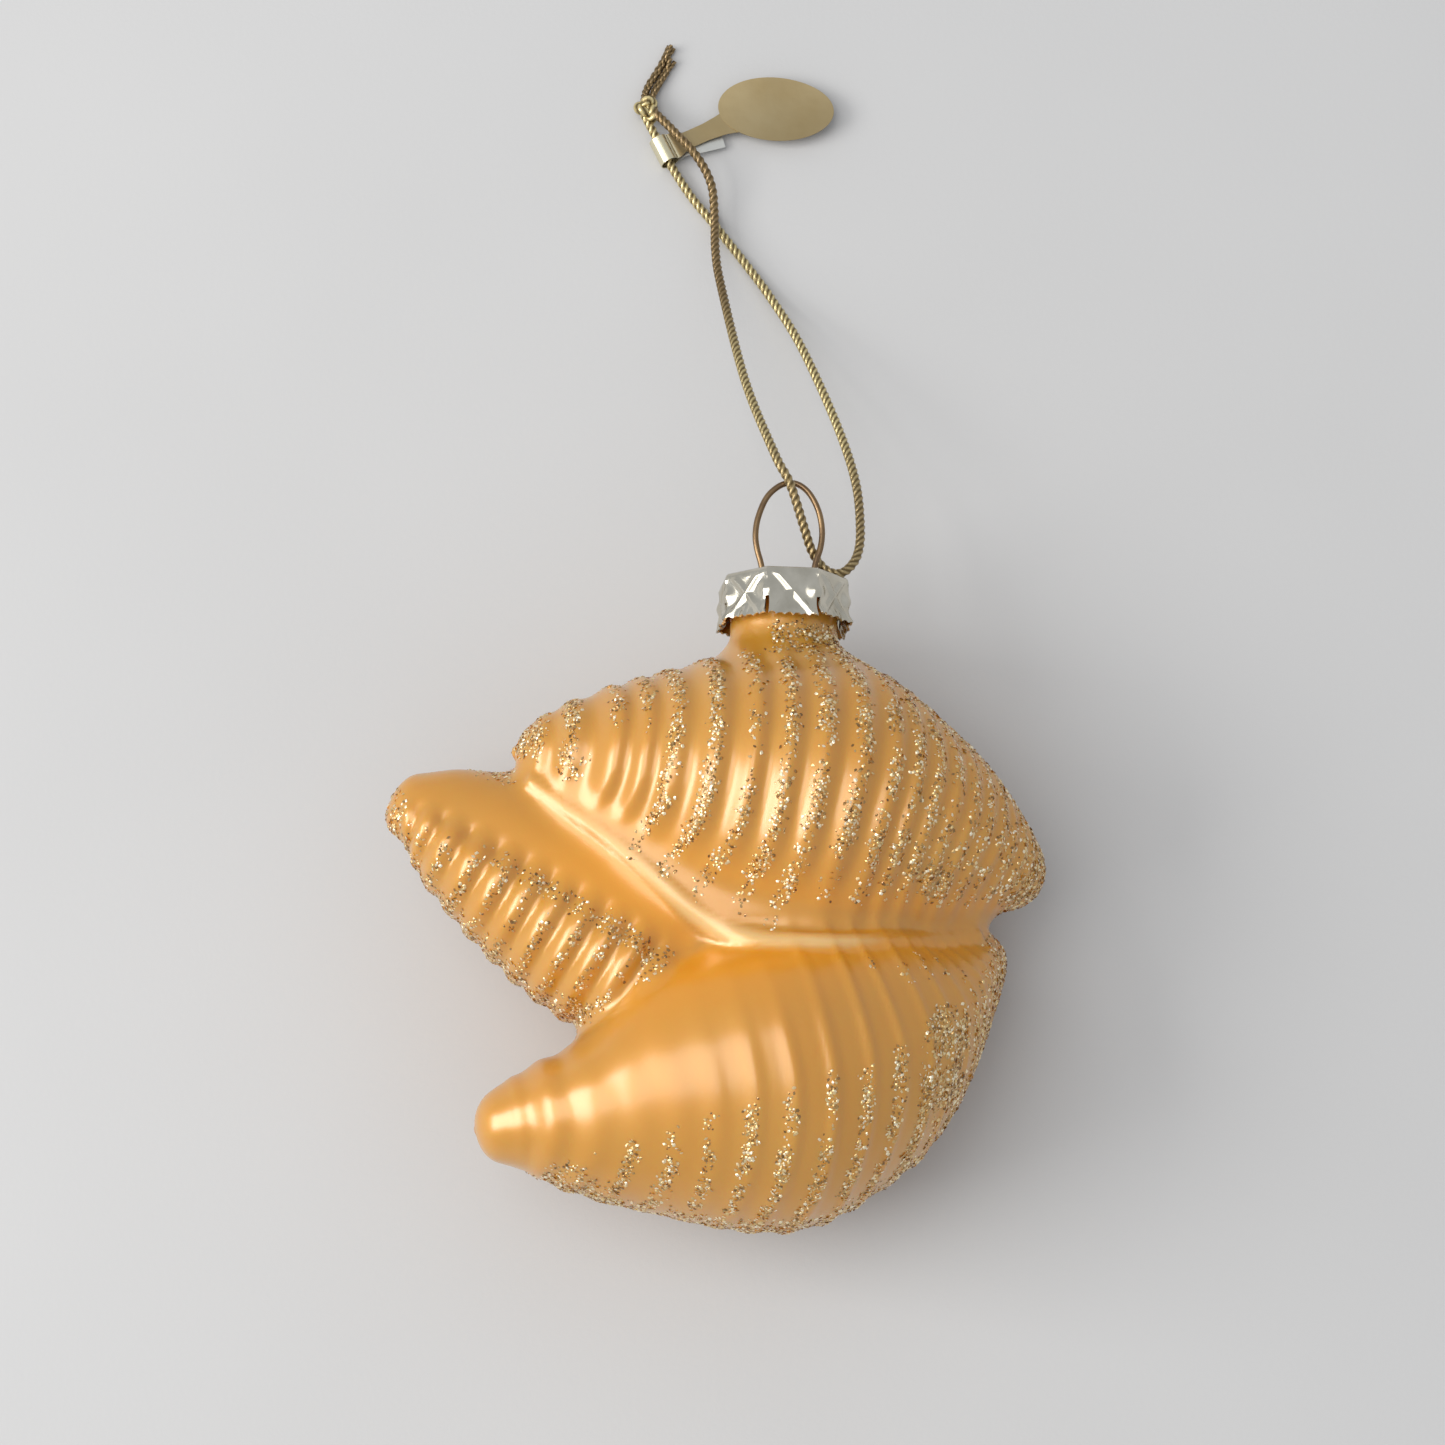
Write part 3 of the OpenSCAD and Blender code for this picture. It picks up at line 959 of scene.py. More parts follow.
@dataclass
class CordLoop:
    """The twisted cord: one loop round the hanger's bow, a knot and two short ends.

    The loop's dullness is given at places along it. The plies of the ends open from a place along them to
    the cut.
    """

    strand: Strand = Strand(0.45, spacing=0.16, sides=18, plies=3.0, depth=0.12, pitch=2.2)
    loose_ply: Strand = Strand(0.24, spacing=0.2, sides=8, plies=2.0, depth=0.1, pitch=1.2)
    route: tuple = (
        (-14.6, 93.9, 1.1), (-13.5, 91.7, 1), (-12.5, 89.8, 1), (-11.4, 87.6, 0.8), (-9.4, 84.5, 0.6),
        (-7.4, 82, 0.5), (-5.6, 79.6, 0.5), (-3.4, 76.6, 0.6), (-1, 73, 1), (2.2, 66.8, 3),
        (5.7, 57, 7), (7.6, 49.4, 10.4), (8, 43.6, 12.4), (7.6, 40.4, 13.4), (6.4, 38.6, 14.1),
        (5.2, 38.2, 14.5), (4, 38.8, 14.8), (2.9, 40.4, 15.3), (2.1, 42.6, 16.2), (0.7, 46.9, 17.2),
        (-0.8, 50.2, 16.6), (-3.8, 60, 11.2), (-6.3, 73, 4.4), (-6.9, 77.7, 2.6), (-7, 82, 1.7),
        (-7.4, 85.6, 2.2), (-9, 88.6, 2.8), (-11.4, 91.5, 2.6), (-13.8, 94.4, 1.7),
    )
    route_points: int = 500
    dull: tuple = (
        (0.0, 0.05), (0.34, 0.1), (0.42, 0.75), (0.58, 0.75), (0.64, 0.25), (0.72, 0.25), (0.8, 1.0),
    )
    bight_x: float = 5.2
    bight_y: tuple = (39.5, 44.0)
    bight_z: float = 14.5
    knot_at: tuple = (-14.4, 94.6, 1.45)
    knot_turn: float = 24.0
    knot_size: float = 0.36
    knot_stretch: tuple = (0.85, 1.1)
    knot_rise: float = 0.42
    knot_swell: float = 1.15
    knot_points: int = 160
    knot_cut: float = 0.03
    tails: tuple = (
        ((-14.8, 95.6, 1.2), (-14.4, 97.4, 0.8), (-13, 100, 0.55), (-11.8, 102.4, 0.55)),
        ((-14.1, 95.4, 1.2), (-13.55, 97.2, 0.8), (-12.6, 99, 0.55), (-11.75, 100.8, 0.55)),
    )
    tail_points: int = 60
    tail_plies: int = 3
    ply_offset: float = 0.2
    ply_opening: float = 0.16
    open_from: float = 0.8
    twisted_to: float = 0.85
    lowest_ply: float = 0.28

    def build(self, tree: SweepTree) -> None:
        """Args:
            tree: The tree that sweeps the strands.
        """
        yarn = MetallicYarn().material()
        line = curve_through(self.route, np.linspace(0.0, 1.0, self.route_points))
        loop = make_lines("cord_loop", [line])
        self.strand.sweep(tree, loop, yarn)
        knot = make_lines("cord_wrap", [self._knot_line()])
        replace(self.strand, radius=self.strand.radius * self.knot_swell).sweep(tree, knot, yarn)
        ends = make_lines("cord_ends", [ply for tail in self.tails for ply in self._loose_plies(tail)])
        self.loose_ply.sweep(tree, ends, yarn)
        along = np.linspace(0.0, 1.0, len(loop.data.vertices))
        set_numbers(loop, "dull", np.interp(along, *zip(*self.dull)))
        set_numbers(knot, "dull", np.zeros(len(knot.data.vertices)))
        set_numbers(ends, "dull", np.ones(len(ends.data.vertices)))
        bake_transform(loop)
        hand_over(loop, None, ["cord_bight", "cord_strand_left", "cord_strand_right"])
        hand_over(knot, Body.CORD, ["cord_knot"])
        hand_over(ends, Body.CORD, ["cord_tails"])

    def _knot_line(self) -> np.ndarray:
        """Follow an overhand knot, pulled tight.

        Returns:
            The points of its line.
        """
        t = np.linspace(self.knot_cut, 1.0 - self.knot_cut, self.knot_points) * math.tau
        flat = np.stack([np.sin(t) + 2.0 * np.sin(2.0 * t), np.cos(t) - 2.0 * np.cos(2.0 * t)], axis=1)
        flat = flat * self.knot_size * self.knot_stretch
        turn = math.radians(self.knot_turn)
        spin = np.array([(math.cos(turn), math.sin(turn)), (-math.sin(turn), math.cos(turn))])
        return np.column_stack([flat @ spin, -self.knot_rise * np.sin(3.0 * t)]) + np.array(self.knot_at)

    def _loose_plies(self, tail: Sequence[Sequence[float]]) -> list[np.ndarray]:
        """Follow the plies of one end, which open where it was cut.

        Args:
            tail: The route of the end.

        Returns:
            The points of each ply.
        """
        places = np.linspace(0.0, 1.0, self.tail_points)
        middle = curve_through(tail, places)
        length = np.linalg.norm(np.diff(middle, axis=0), axis=1).sum()
        ahead = np.gradient(middle, axis=0)
        ahead /= np.linalg.norm(ahead, axis=1)[:, None]
        across = np.cross(ahead, (0.0, 0.0, 1.0))
        across /= np.linalg.norm(across, axis=1)[:, None]
        above = np.cross(across, ahead)
        spread = self.ply_offset + self.ply_opening * ease(places, self.open_from, 1.0)
        laid = np.minimum(places, self.twisted_to) * length / self.strand.pitch
        plies = []
        for n in range(self.tail_plies):
            turn = math.tau * (n / self.tail_plies + laid)
            ply = middle + (spread * np.cos(turn))[:, None] * across
            ply = ply + (spread * np.sin(turn))[:, None] * above
            ply[:, 2] = np.maximum(ply[:, 2], self.lowest_ply)
            plies.append(ply)
        return plies


# Cap, hanger and label


@dataclass
class CrownCap:
    """The stamped cap: flat petals below a pierced top, slit at the corners.

    The lozenges are stamped lines that cross, with a dot in each cell. The hem is the part of each petal
    that flares out by chance, between two bounds, and has a ragged edge.
    """

    petals: int = 8
    width: float = 12.4
    height: float = 4.9
    top: float = 36.9
    thickness: float = 0.22
    bend_r: float = 0.5
    hole_r: float = 3.8
    turn: float = -7.5
    slit_h: float = 1.8
    slit_columns: int = 2
    columns: int = 48
    top_rows: int = 6
    bend_rows: int = 3
    petal_rows: int = 44
    cell: float = 4.4
    cell_row: float = 2.5
    line_lean: float = 0.85
    line_slant: float = 0.76
    line_half: float = 0.3
    dot_half: float = 0.62
    dot_height: float = 1.3
    emboss: float = 0.24
    emboss_from: float = 1.0
    hem_h: float = 2.2
    hem_drop: float = 0.3
    hem_wave: float = 0.2
    hem_wave_width: float = 0.8
    hem_fray: float = 0.1
    hem_skew: float = 0.08
    hem_flare: tuple = (0.05, 0.4)
    crease: float = 50.0

    def build(self) -> None:
        """Make the cap."""
        half = self.width / 2.0
        side = half * math.tan(math.pi / self.petals)
        petal = np.repeat(np.arange(self.petals), self.columns)
        self.across = np.tile(np.linspace(-side, side, self.columns, endpoint=False), self.petals)
        self.facing = np.radians(petal * 360.0 / self.petals + 90.0 + self.turn)
        rows, depths = self._rows(*self._hem(petal))
        wide = len(self.across)
        faces = [
            face
            for face in grid_faces(len(rows), wide, True)
            if depths[face[0] // wide] < self.height - self.slit_h
            or self.slit_columns <= face[0] % self.columns < self.columns - self.slit_columns
        ]
        piece = make_piece("stamped_cap", np.vstack(rows), faces)
        thicken(piece, self.thickness, -1.0, self.crease)
        dress(piece, StampedTin().material())
        hand_over(piece, Body.CAP, ["crown_cap"])

    def _hem(self, petal: np.ndarray) -> tuple[np.ndarray, np.ndarray]:
        """Draw the ragged edge and the flare of each petal by chance.

        Args:
            petal: The petal's number at each point round the cap.

        Returns:
            How far the edge is lifted, and how far it flares out.
        """
        rng = np.random.default_rng(SEED)
        ragged = self.hem_wave * np.abs(np.sin(math.pi * self.across / self.hem_wave_width + petal))
        ragged = ragged + self.hem_fray * rng.random(len(petal))
        ragged = ragged + rng.uniform(0.0, self.hem_drop, self.petals)[petal]
        ragged = ragged + rng.uniform(-self.hem_skew, self.hem_skew, self.petals)[petal] * self.across
        return ragged - self.hem_drop, rng.uniform(*self.hem_flare, self.petals)[petal]

    def _rows(self, ragged: np.ndarray, flare: np.ndarray) -> tuple[list[np.ndarray], list[float]]:
        """Lay rings of points from the hole over the bend and down the petals.

        Args:
            ragged: How far the edge is lifted at each point.
            flare: How far it flares out.

        Returns:
            The rings, and the depth of each below the top.
        """
        half = self.width / 2.0
        rim = self._ring(half - self.bend_r)
        hole = self.hole_r * rim / np.linalg.norm(rim, axis=1)[:, None]
        rows = [
            self._place(hole + share * (rim - hole), self.top)
            for share in np.linspace(0.0, 1.0, self.top_rows, endpoint=False)
        ]
        for bend in np.linspace(0.0, math.pi / 2.0, self.bend_rows, endpoint=False):
            out = half - self.bend_r * (1.0 - math.sin(bend))
            rows.append(self._place(self._ring(out), self.top - self.bend_r * (1.0 - math.cos(bend))))
        depths = [0.0] * len(rows)
        for depth in np.linspace(self.bend_r, self.height, self.petal_rows):
            low = ease(depth, self.height - self.hem_h, self.height)
            raised = self._relief(depth) * ease(depth, self.bend_r, self.emboss_from)
            out = half + raised + flare * low * low
            rows.append(self._place(self._ring(out), self.top - depth + low * ragged))
            depths.append(depth)
        return rows, depths

    def _ring(self, out: Any) -> np.ndarray:
        """Lay the petals' points at a distance from the axis.

        Args:
            out: The distance, for all points or for each.

        Returns:
            Their X and Z from the axis.
        """
        out = np.broadcast_to(out, self.across.shape)
        along = self.across * out / (self.width / 2.0)
        x = out * np.cos(self.facing) - along * np.sin(self.facing)
        z = out * np.sin(self.facing) + along * np.cos(self.facing)
        return np.stack([x, z], axis=1)

    @staticmethod
    def _place(flat: np.ndarray, height: Any) -> np.ndarray:
        """Put points across the axis at a height on the neck."""
        return np.column_stack([flat[:, 0], np.broadcast_to(height, len(flat)), flat[:, 1] + AXIS_H])

    def _relief(self, depth: float) -> np.ndarray:
        """Give the height of the stamped lozenges and the dots between them.

        Args:
            depth: How far below the top.

        Returns:
            The height at each point round the cap.
        """
        lines = []
        for lean in (self.line_lean, -self.line_lean):
            cross = (self.across + lean * (depth - self.cell_row)) / self.cell
            lines.append(np.abs(cross - np.round(cross)) * self.cell * self.line_slant)
        ridge = np.exp(-((np.minimum(*lines) / self.line_half) ** 2))
        middle = self.cell * self.line_slant / 2.0
        off_dot = (lines[0] - middle) ** 2 + (lines[1] - middle) ** 2
        return self.emboss * (ridge + self.dot_height * np.exp(-(off_dot / self.dot_half**2)))


@dataclass
class WireHanger:
    """The spring wire: an oval bow above the cap and two legs in the neck."""

    wire: Strand = Strand(0.31, spacing=0.25, sides=16)
    route: tuple = (
        (-3.85, 22), (-3.2, 27), (-2.5, 31.5), (-1.9, 35.5), (-2.2, 38.5), (-2.66, 40.4), (-2.8, 42),
        (-2.5, 43.8), (-1.65, 45.8), (-0.4, 47), (0.84, 47.35), (1.95, 46.95), (2.9, 45.9), (3.65, 44.2),
        (3.95, 42.2), (3.75, 40.4), (3.2, 38.6), (2.85, 35.5), (3.1, 31.5), (3.5, 27), (3.85, 22),
    )
    route_points: int = 240

    def build(self, tree: SweepTree) -> None:
        """Make the wire.

        Args:
            tree: The tree that sweeps it.
        """
        flat = [(x, y, AXIS_H) for x, y in self.route]
        line = curve_through(flat, np.linspace(0.0, 1.0, self.route_points))
        piece = make_lines("wire_bow", [line])
        self.wire.sweep(tree, piece, BronzedWire().material())
        hand_over(piece, Body.HANGER, ["hanger_wire"])


@dataclass
class FoilLabel:
    """The foil label: a strip folded round the cord, with an oval at its front end.

    Rises and widths are given at distances from the fold's middle, along the strip's front and its back.
    """

    fold_at: tuple = (-12.5, 89.8, 1.2)
    fold_r: float = 1.04
    fold_width: float = 3.0
    fold_gap: float = 18.0
    fold_end: float = 1.3
    fold_rows: int = 36
    front_turn: float = 26.0
    front_len: float = 8.4
    front_rows: int = 18
    front_rise: tuple = ((1.3, 0.34), (3.0, 0.14), (8.4, 0.02))
    front_width: tuple = ((1.3, 3.0), (2.6, 2.0), (5.0, 2.0), (7.0, 2.4), (8.4, 3.2))
    back_turn: float = 16.0
    back_turned_by: float = 4.0
    back_len: float = 6.6
    back_rows: int = 16
    back_rise: tuple = ((1.3, -0.34), (3.0, -0.2), (6.6, -0.45))
    back_width: tuple = ((1.3, 3.0), (3.4, 2.4))
    columns: int = 9
    thickness: float = 0.1
    oval_at: tuple = (-0.3, 94.6, 1.34)
    oval_size: tuple = (12.7, 7.4)
    oval_turn: float = -5.0
    oval_rings: int = 9
    oval_sides: int = 64
    curl_far: float = 0.011
    curl_across: float = 0.012
    curl_twist: float = 0.01
    crease: float = 50.0

    def build(self) -> None:
        """Make the label."""
        strip, silver, bright, strip_faces = self._strip()
        oval, oval_faces = self._oval()
        faces = strip_faces + [tuple(n + len(strip) for n in face) for face in oval_faces]
        piece = make_piece("label_foil", np.vstack([strip, oval]), faces)
        set_numbers(piece, "silver", np.concatenate([silver, np.zeros(len(oval))]))
        set_numbers(piece, "bright", np.concatenate([bright, np.zeros(len(oval))]))
        thicken(piece, self.thickness, 0.0, self.crease)
        dress(piece, GoldFoil().material())
        hand_over(piece, Body.LABEL, ["foil_label"])

    def _strip(self) -> tuple[np.ndarray, np.ndarray, np.ndarray, list]:
        """Lay the strip from its back end round the cord to its front end.

        Returns:
            Its points, where it is silver, where it is bright, and its faces.
        """
        back = np.linspace(self.back_len, self.fold_end, self.back_rows)
        fold = np.radians(np.linspace(-self.fold_gap, self.fold_gap - 360.0, self.fold_rows))
        front = np.linspace(self.fold_end, self.front_len, self.front_rows)
        out = np.concatenate([back, self.fold_r * np.cos(fold), front])
        back_rise, back_width = (np.interp(back, *zip(*t)) for t in (self.back_rise, self.back_width))
        front_rise, front_width = (np.interp(front, *zip(*t)) for t in (self.front_rise, self.front_width))
        rise = np.concatenate([back_rise, self.fold_r * np.sin(fold), front_rise])
        wide = np.concatenate([back_width, np.full(len(fold), self.fold_width), front_width])
        behind = np.zeros(len(out))
        behind[: len(back)] = ease(back, self.fold_end, self.back_turned_by)
        turn = np.radians(self.front_turn + (self.back_turn - self.front_turn) * behind)
        across = np.linspace(-0.5, 0.5, self.columns)
        o, r, t, w = (row[:, None] for row in (out, rise, turn, wide))
        x = o * np.cos(t) - w * across * np.sin(t)
        y = o * np.sin(t) + w * across * np.cos(t)
        points = np.stack([x, y, np.broadcast_to(r, x.shape)], axis=2).reshape(-1, 3) + np.array(self.fold_at)
        silver = np.repeat(np.arange(len(out)) < len(back), self.columns).astype(float)
        bright = np.repeat(np.abs(out) <= self.fold_r, self.columns).astype(float)
        return points, silver, bright, grid_faces(len(out), self.columns, False)

    def _oval(self) -> tuple[np.ndarray, list]:
        """Lay the oval, which curls up a little at its far end.

        Returns:
            Its points and its faces.
        """
        sides = self.oval_sides
        angle = np.linspace(0.0, math.tau, sides, endpoint=False)
        turn = math.radians(self.oval_turn)
        rings = [np.array([[0.0, 0.0, 0.0]])]
        for n in range(1, self.oval_rings + 1):
            x = self.oval_size[0] / 2.0 * n / self.oval_rings * np.cos(angle)
            y = self.oval_size[1] / 2.0 * n / self.oval_rings * np.sin(angle)
            curl = self.curl_far * np.maximum(x, 0.0) ** 2 + self.curl_across * y**2 - self.curl_twist * x * y
            turned_x = x * math.cos(turn) - y * math.sin(turn)
            turned_y = x * math.sin(turn) + y * math.cos(turn)
            rings.append(np.stack([turned_x, turned_y, curl], axis=1))
        faces = [(0, 1 + n, 1 + (n + 1) % sides) for n in range(sides)]
        faces += [tuple(n + 1 for n in reversed(face)) for face in grid_faces(self.oval_rings, sides, True)]
        return np.vstack(rings) + np.array(self.oval_at), faces


# Glass


# Radius of a lobe's pointed end, and that end's four reaches
TIP_R = 0.3
POINT = (TIP_R,) * 4


@dataclass
class Lobe:
    """One swept, ribbed lobe of the glass.

    Each station is x, y and z of the lobe's middle, then its reach up, down, forward and back. The crests
    are the ribs' places along the lobe at its front, and lean() moves them elsewhere round it. A rib's
    height is a share of the ribs' spacing. Sharpness narrows the crests, and changes between two places
    along the lobe. Blunt rounds the left tip off. Angles round the lobe are 0 at its top and 90 in front.
    """

    stations: tuple = ()
    crests: tuple = ()
    rib_height: float = 0.0
    rib_grows: tuple = (1.0, 4.0)
    rib_widest: float = 5.0
    sharpness: tuple = (1.0, 1.0)
    sharpened: tuple = (0.45, 0.68)
    blunt: float = 0.0
    samples: int = 321
    evened: int = 12
    passes: int = 4
    least_reach: float = 0.1

    def __post_init__(self) -> None:
        """Tabulate the lobe's middle, its frame, its reaches and its ribs along its length."""
        rows = np.array(self.stations, float)
        rows[:, 3:] **= 2
        self.u = np.linspace(0.0, 1.0, self.samples)
        table = curve_through(rows, self.u)
        first = np.minimum(self.u * (len(rows) - 1), 1.0)
        table[:, 3:] += self.blunt * (first * (1.0 - first) ** 2)[:, None] * rows[1, 3:]
        self.middle = table[:, :3]
        self.reach = np.sqrt(np.maximum(table[:, 3:], TIP_R**2))
        run = np.gradient(self.middle, self.u, axis=0)
        self.speed = np.linalg.norm(run, axis=1)
        self.ahead = run / self.speed[:, None]
        upward = np.cross([0.0, 0.0, 1.0], self.ahead)
        self.upward = upward / np.linalg.norm(upward, axis=1)[:, None]
        self.forward = np.cross(self.ahead, self.upward)
        crests = np.array(self.crests, float)
        ends = [2 * crests[0] - crests[1], *crests, 2 * crests[-1] - crests[-2]]
        self.phase = np.interp(self.u, ends, np.arange(len(ends)) - 0.5)
        rate = moving_mean(np.gradient(self.phase, self.u), self.evened)
        self.spacing = np.minimum(self.speed / np.maximum(rate, TINY), self.rib_widest)

    def share(self, u: np.ndarray, angle: np.ndarray) -> np.ndarray:
        """Give the share of the ribs' height at a place along and round the lobe."""
        return np.ones_like(u)

    def lean(self, u: np.ndarray, angle: np.ndarray) -> np.ndarray:
        """Give how far the ribs are moved along the lobe at an angle round it."""
        return np.zeros_like(u)

    def dent(self, u: np.ndarray, angle: np.ndarray) -> np.ndarray:
        """Give how far the lobe is pressed in."""
        return np.zeros_like(u)

    def read(self, table: np.ndarray, u: np.ndarray) -> np.ndarray:
        """Look a table up at places along the lobe.

        Args:
            table: One number or one row for each sample.
            u: Places along the lobe.

        Returns:
            A number or a row for each place.
        """
        if table.ndim == 1:
            return np.interp(u, self.u, table)
        return np.stack([np.interp(u, self.u, column) for column in table.T], axis=1)

    def locate(self, points: Points) -> tuple[np.ndarray, np.ndarray, np.ndarray, np.ndarray]:
        """Find where points lie on the lobe.

        Args:
            points: Where to look.

        Returns:
            The place along the lobe, how far past its end, and the offsets up and forward.
        """
        chord = self.middle[-1] - self.middle[0]
        u = np.interp((points - self.middle[0]) @ chord, (self.middle - self.middle[0]) @ chord, self.u)
        for _ in range(self.passes):
            past = np.einsum("ij,ij->i", points - self.read(self.middle, u), self.read(self.ahead, u))
            u = np.clip(u + past / self.read(self.speed, u), 0.0, 1.0)
        away = points - self.read(self.middle, u)
        past = np.abs(np.einsum("ij,ij->i", away, self.read(self.ahead, u)))
        past = np.where((u <= 0.0) | (u >= 1.0), past, 0.0)
        up = np.einsum("ij,ij->i", away, self.read(self.upward, u))
        out = np.einsum("ij,ij->i", away, self.read(self.forward, u))
        return u, past, up, out

    def reaches(self, u: np.ndarray, up: np.ndarray, out: np.ndarray) -> tuple[np.ndarray, np.ndarray]:
        """Give the lobe's reach up or down, and forward or back, on each point's side."""
        reach = self.read(self.reach, u)
        return np.where(up > 0, reach[:, 0], reach[:, 1]), np.where(out > 0, reach[:, 2], reach[:, 3])

    def polar(self, points: Points) -> tuple[np.ndarray, np.ndarray]:
        """Give each point's place along the lobe and its angle round it.

        Args:
            points: Where to look.

        Returns:
            Places from 0 to 1, and angles in degrees.
        """
        u, _, up, out = self.locate(points)
        across, deep = self.reaches(u, up, out)
        return u, np.degrees(np.arctan2(out / deep, up / across))

    def distance(self, points: Points) -> np.ndarray:
        """Measure how far points are from the lobe's surface.

        Args:
            points: Where to measure.

        Returns:
            Distances, negative inside.
        """
        u, past, up, out = self.locate(points)
        across, deep = self.reaches(u, up, out)
        angle = np.degrees(np.arctan2(out / deep, up / across))
        sharp = np.interp(u, self.sharpened, self.sharpness)
        wave = (0.5 - 0.5 * np.cos(math.tau * self.phase_at(u, angle))) ** sharp
        rise = self.rib_height * self.read(self.spacing, u) * (wave - 0.5) * self.share(u, angle)
        rise = rise * ease(np.minimum(across, deep), *self.rib_grows) - self.dent(u, angle)
        across = np.maximum(across + rise, self.least_reach)
        deep = np.maximum(deep + rise, self.least_reach)
        near = np.hypot(up / across, out / deep)
        slope = np.maximum(np.hypot(up / across**2, out / deep**2), TINY)
        flank = near * (near - 1.0) / slope
        end = np.sqrt(up**2 + out**2 + past**2) - TIP_R
        return np.where(past > 0.0, end, flank)

    def phase_at(self, u: np.ndarray, angle: np.ndarray) -> np.ndarray:
        """Count the ribs up to a place along and round the lobe."""
        return self.read(self.phase, u - self.lean(u, angle))

    def off_crest(self, u: np.ndarray, angle: np.ndarray) -> tuple[np.ndarray, np.ndarray]:
        """Find the nearest rib.

        Args:
            u: Places along the lobe.
            angle: Angles round it.

        Returns:
            The rib's number, and how far past its crest each place is.
        """
        phase = self.phase_at(u, angle)
        rib = np.floor(phase)
        return rib, (phase - rib - 0.5) * self.read(self.spacing, u)


@dataclass
class UpperLobe(Lobe):
    """The lobe below the neck, whose ribs bow to the left above and below its front."""

    stations: tuple = (
        (-26.5, 19, 18, *POINT), (-22, 18.5, 18, 5.3, 5, 5.6, 9), (-14, 17.2, 17.6, 9.6, 9.6, 10, 14.5),
        (-5, 15.9, 17, 13, 13.4, 13.4, 17), (4, 14.4, 16, 14, 14.6, 14.6, 16.4),
        (13, 12, 14, 10.2, 11.6, 12.4, 14.3), (20, 9.2, 11.8, 6, 6.6, 8.4, 10.5), (25.4, 6.4, 9.5, *POINT),
    )
    crests: tuple = (
        0.083, 0.16, 0.238, 0.283, 0.327, 0.385, 0.439, 0.489, 0.535, 0.581, 0.624, 0.655, 0.686, 0.719,
        0.752, 0.785, 0.817, 0.848, 0.877, 0.904, 0.929, 0.952,
    )
    rib_height: float = 0.2
    top_share: tuple = (0.55, 0.45)
    top_angles: tuple = (15.0, 70.0)
    lip_angle: float = 150.0
    lip_angle_gain: float = 16.0
    lip_gains: tuple = (0.5, 0.7)
    lip_fade: float = 42.0
    back_fade: tuple = (120.0, 165.0)
    seam: float = -90.0
    bow_above: float = 0.02
    bow_above_gain: float = 0.07
    bow_gains_from: float = 0.45
    bow_below: float = 0.055
    bow_flips: tuple = (0.6, 0.22)
    bow_flip_limits: tuple = (-0.5, 1.0)
    bow_from: tuple = (90.0, 100.0)
    bow_span: float = 60.0
    bow_limits: tuple = (2.0, 1.3)
    bow_middle: float = 80.0
    bow_fade: tuple = (110.0, 165.0)
    bow_starts: tuple = (0.0, 0.25)

    def share(self, u: np.ndarray, angle: np.ndarray) -> np.ndarray:
        """Let the ribs die out above the lip and behind, and soften them on top.

        Args:
            u: Places along the lobe.
            angle: Angles round it.

        Returns:
            Shares of the ribs' height.
        """
        fade = self.lip_angle + self.lip_angle_gain * ease(u, *self.lip_gains)
        least, rest = self.top_share
        top = least + rest * ease(np.abs(angle), *self.top_angles)
        return top * (1.0 - ease(angle, fade - self.lip_fade, fade)) * (1.0 - ease(-angle, *self.back_fade))

    def lean(self, u: np.ndarray, angle: np.ndarray) -> np.ndarray:
        """Bow the ribs to the left above and below the front.

        Args:
            u: Places along the lobe.
            angle: Angles round it.

        Returns:
            How far the ribs are moved.
        """
        turned = turn_from(angle, self.seam)
        over, under = self.bow_from
        most_over, most_under = self.bow_limits
        above = self.bow_above + self.bow_above_gain * np.maximum(u - self.bow_gains_from, 0.0)
        above = above * np.clip((over - turned) / self.bow_span, 0.0, most_over) ** 2
        flip_at, flip_span = self.bow_flips
        below = self.bow_below * np.clip((flip_at - u) / flip_span, *self.bow_flip_limits)
        below = below * np.clip((turned - under) / self.bow_span, 0.0, most_under) ** 2
        fade = 1.0 - ease(np.abs(turned - self.bow_middle), *self.bow_fade)
        return -(above + below) * fade * ease(u, *self.bow_starts)


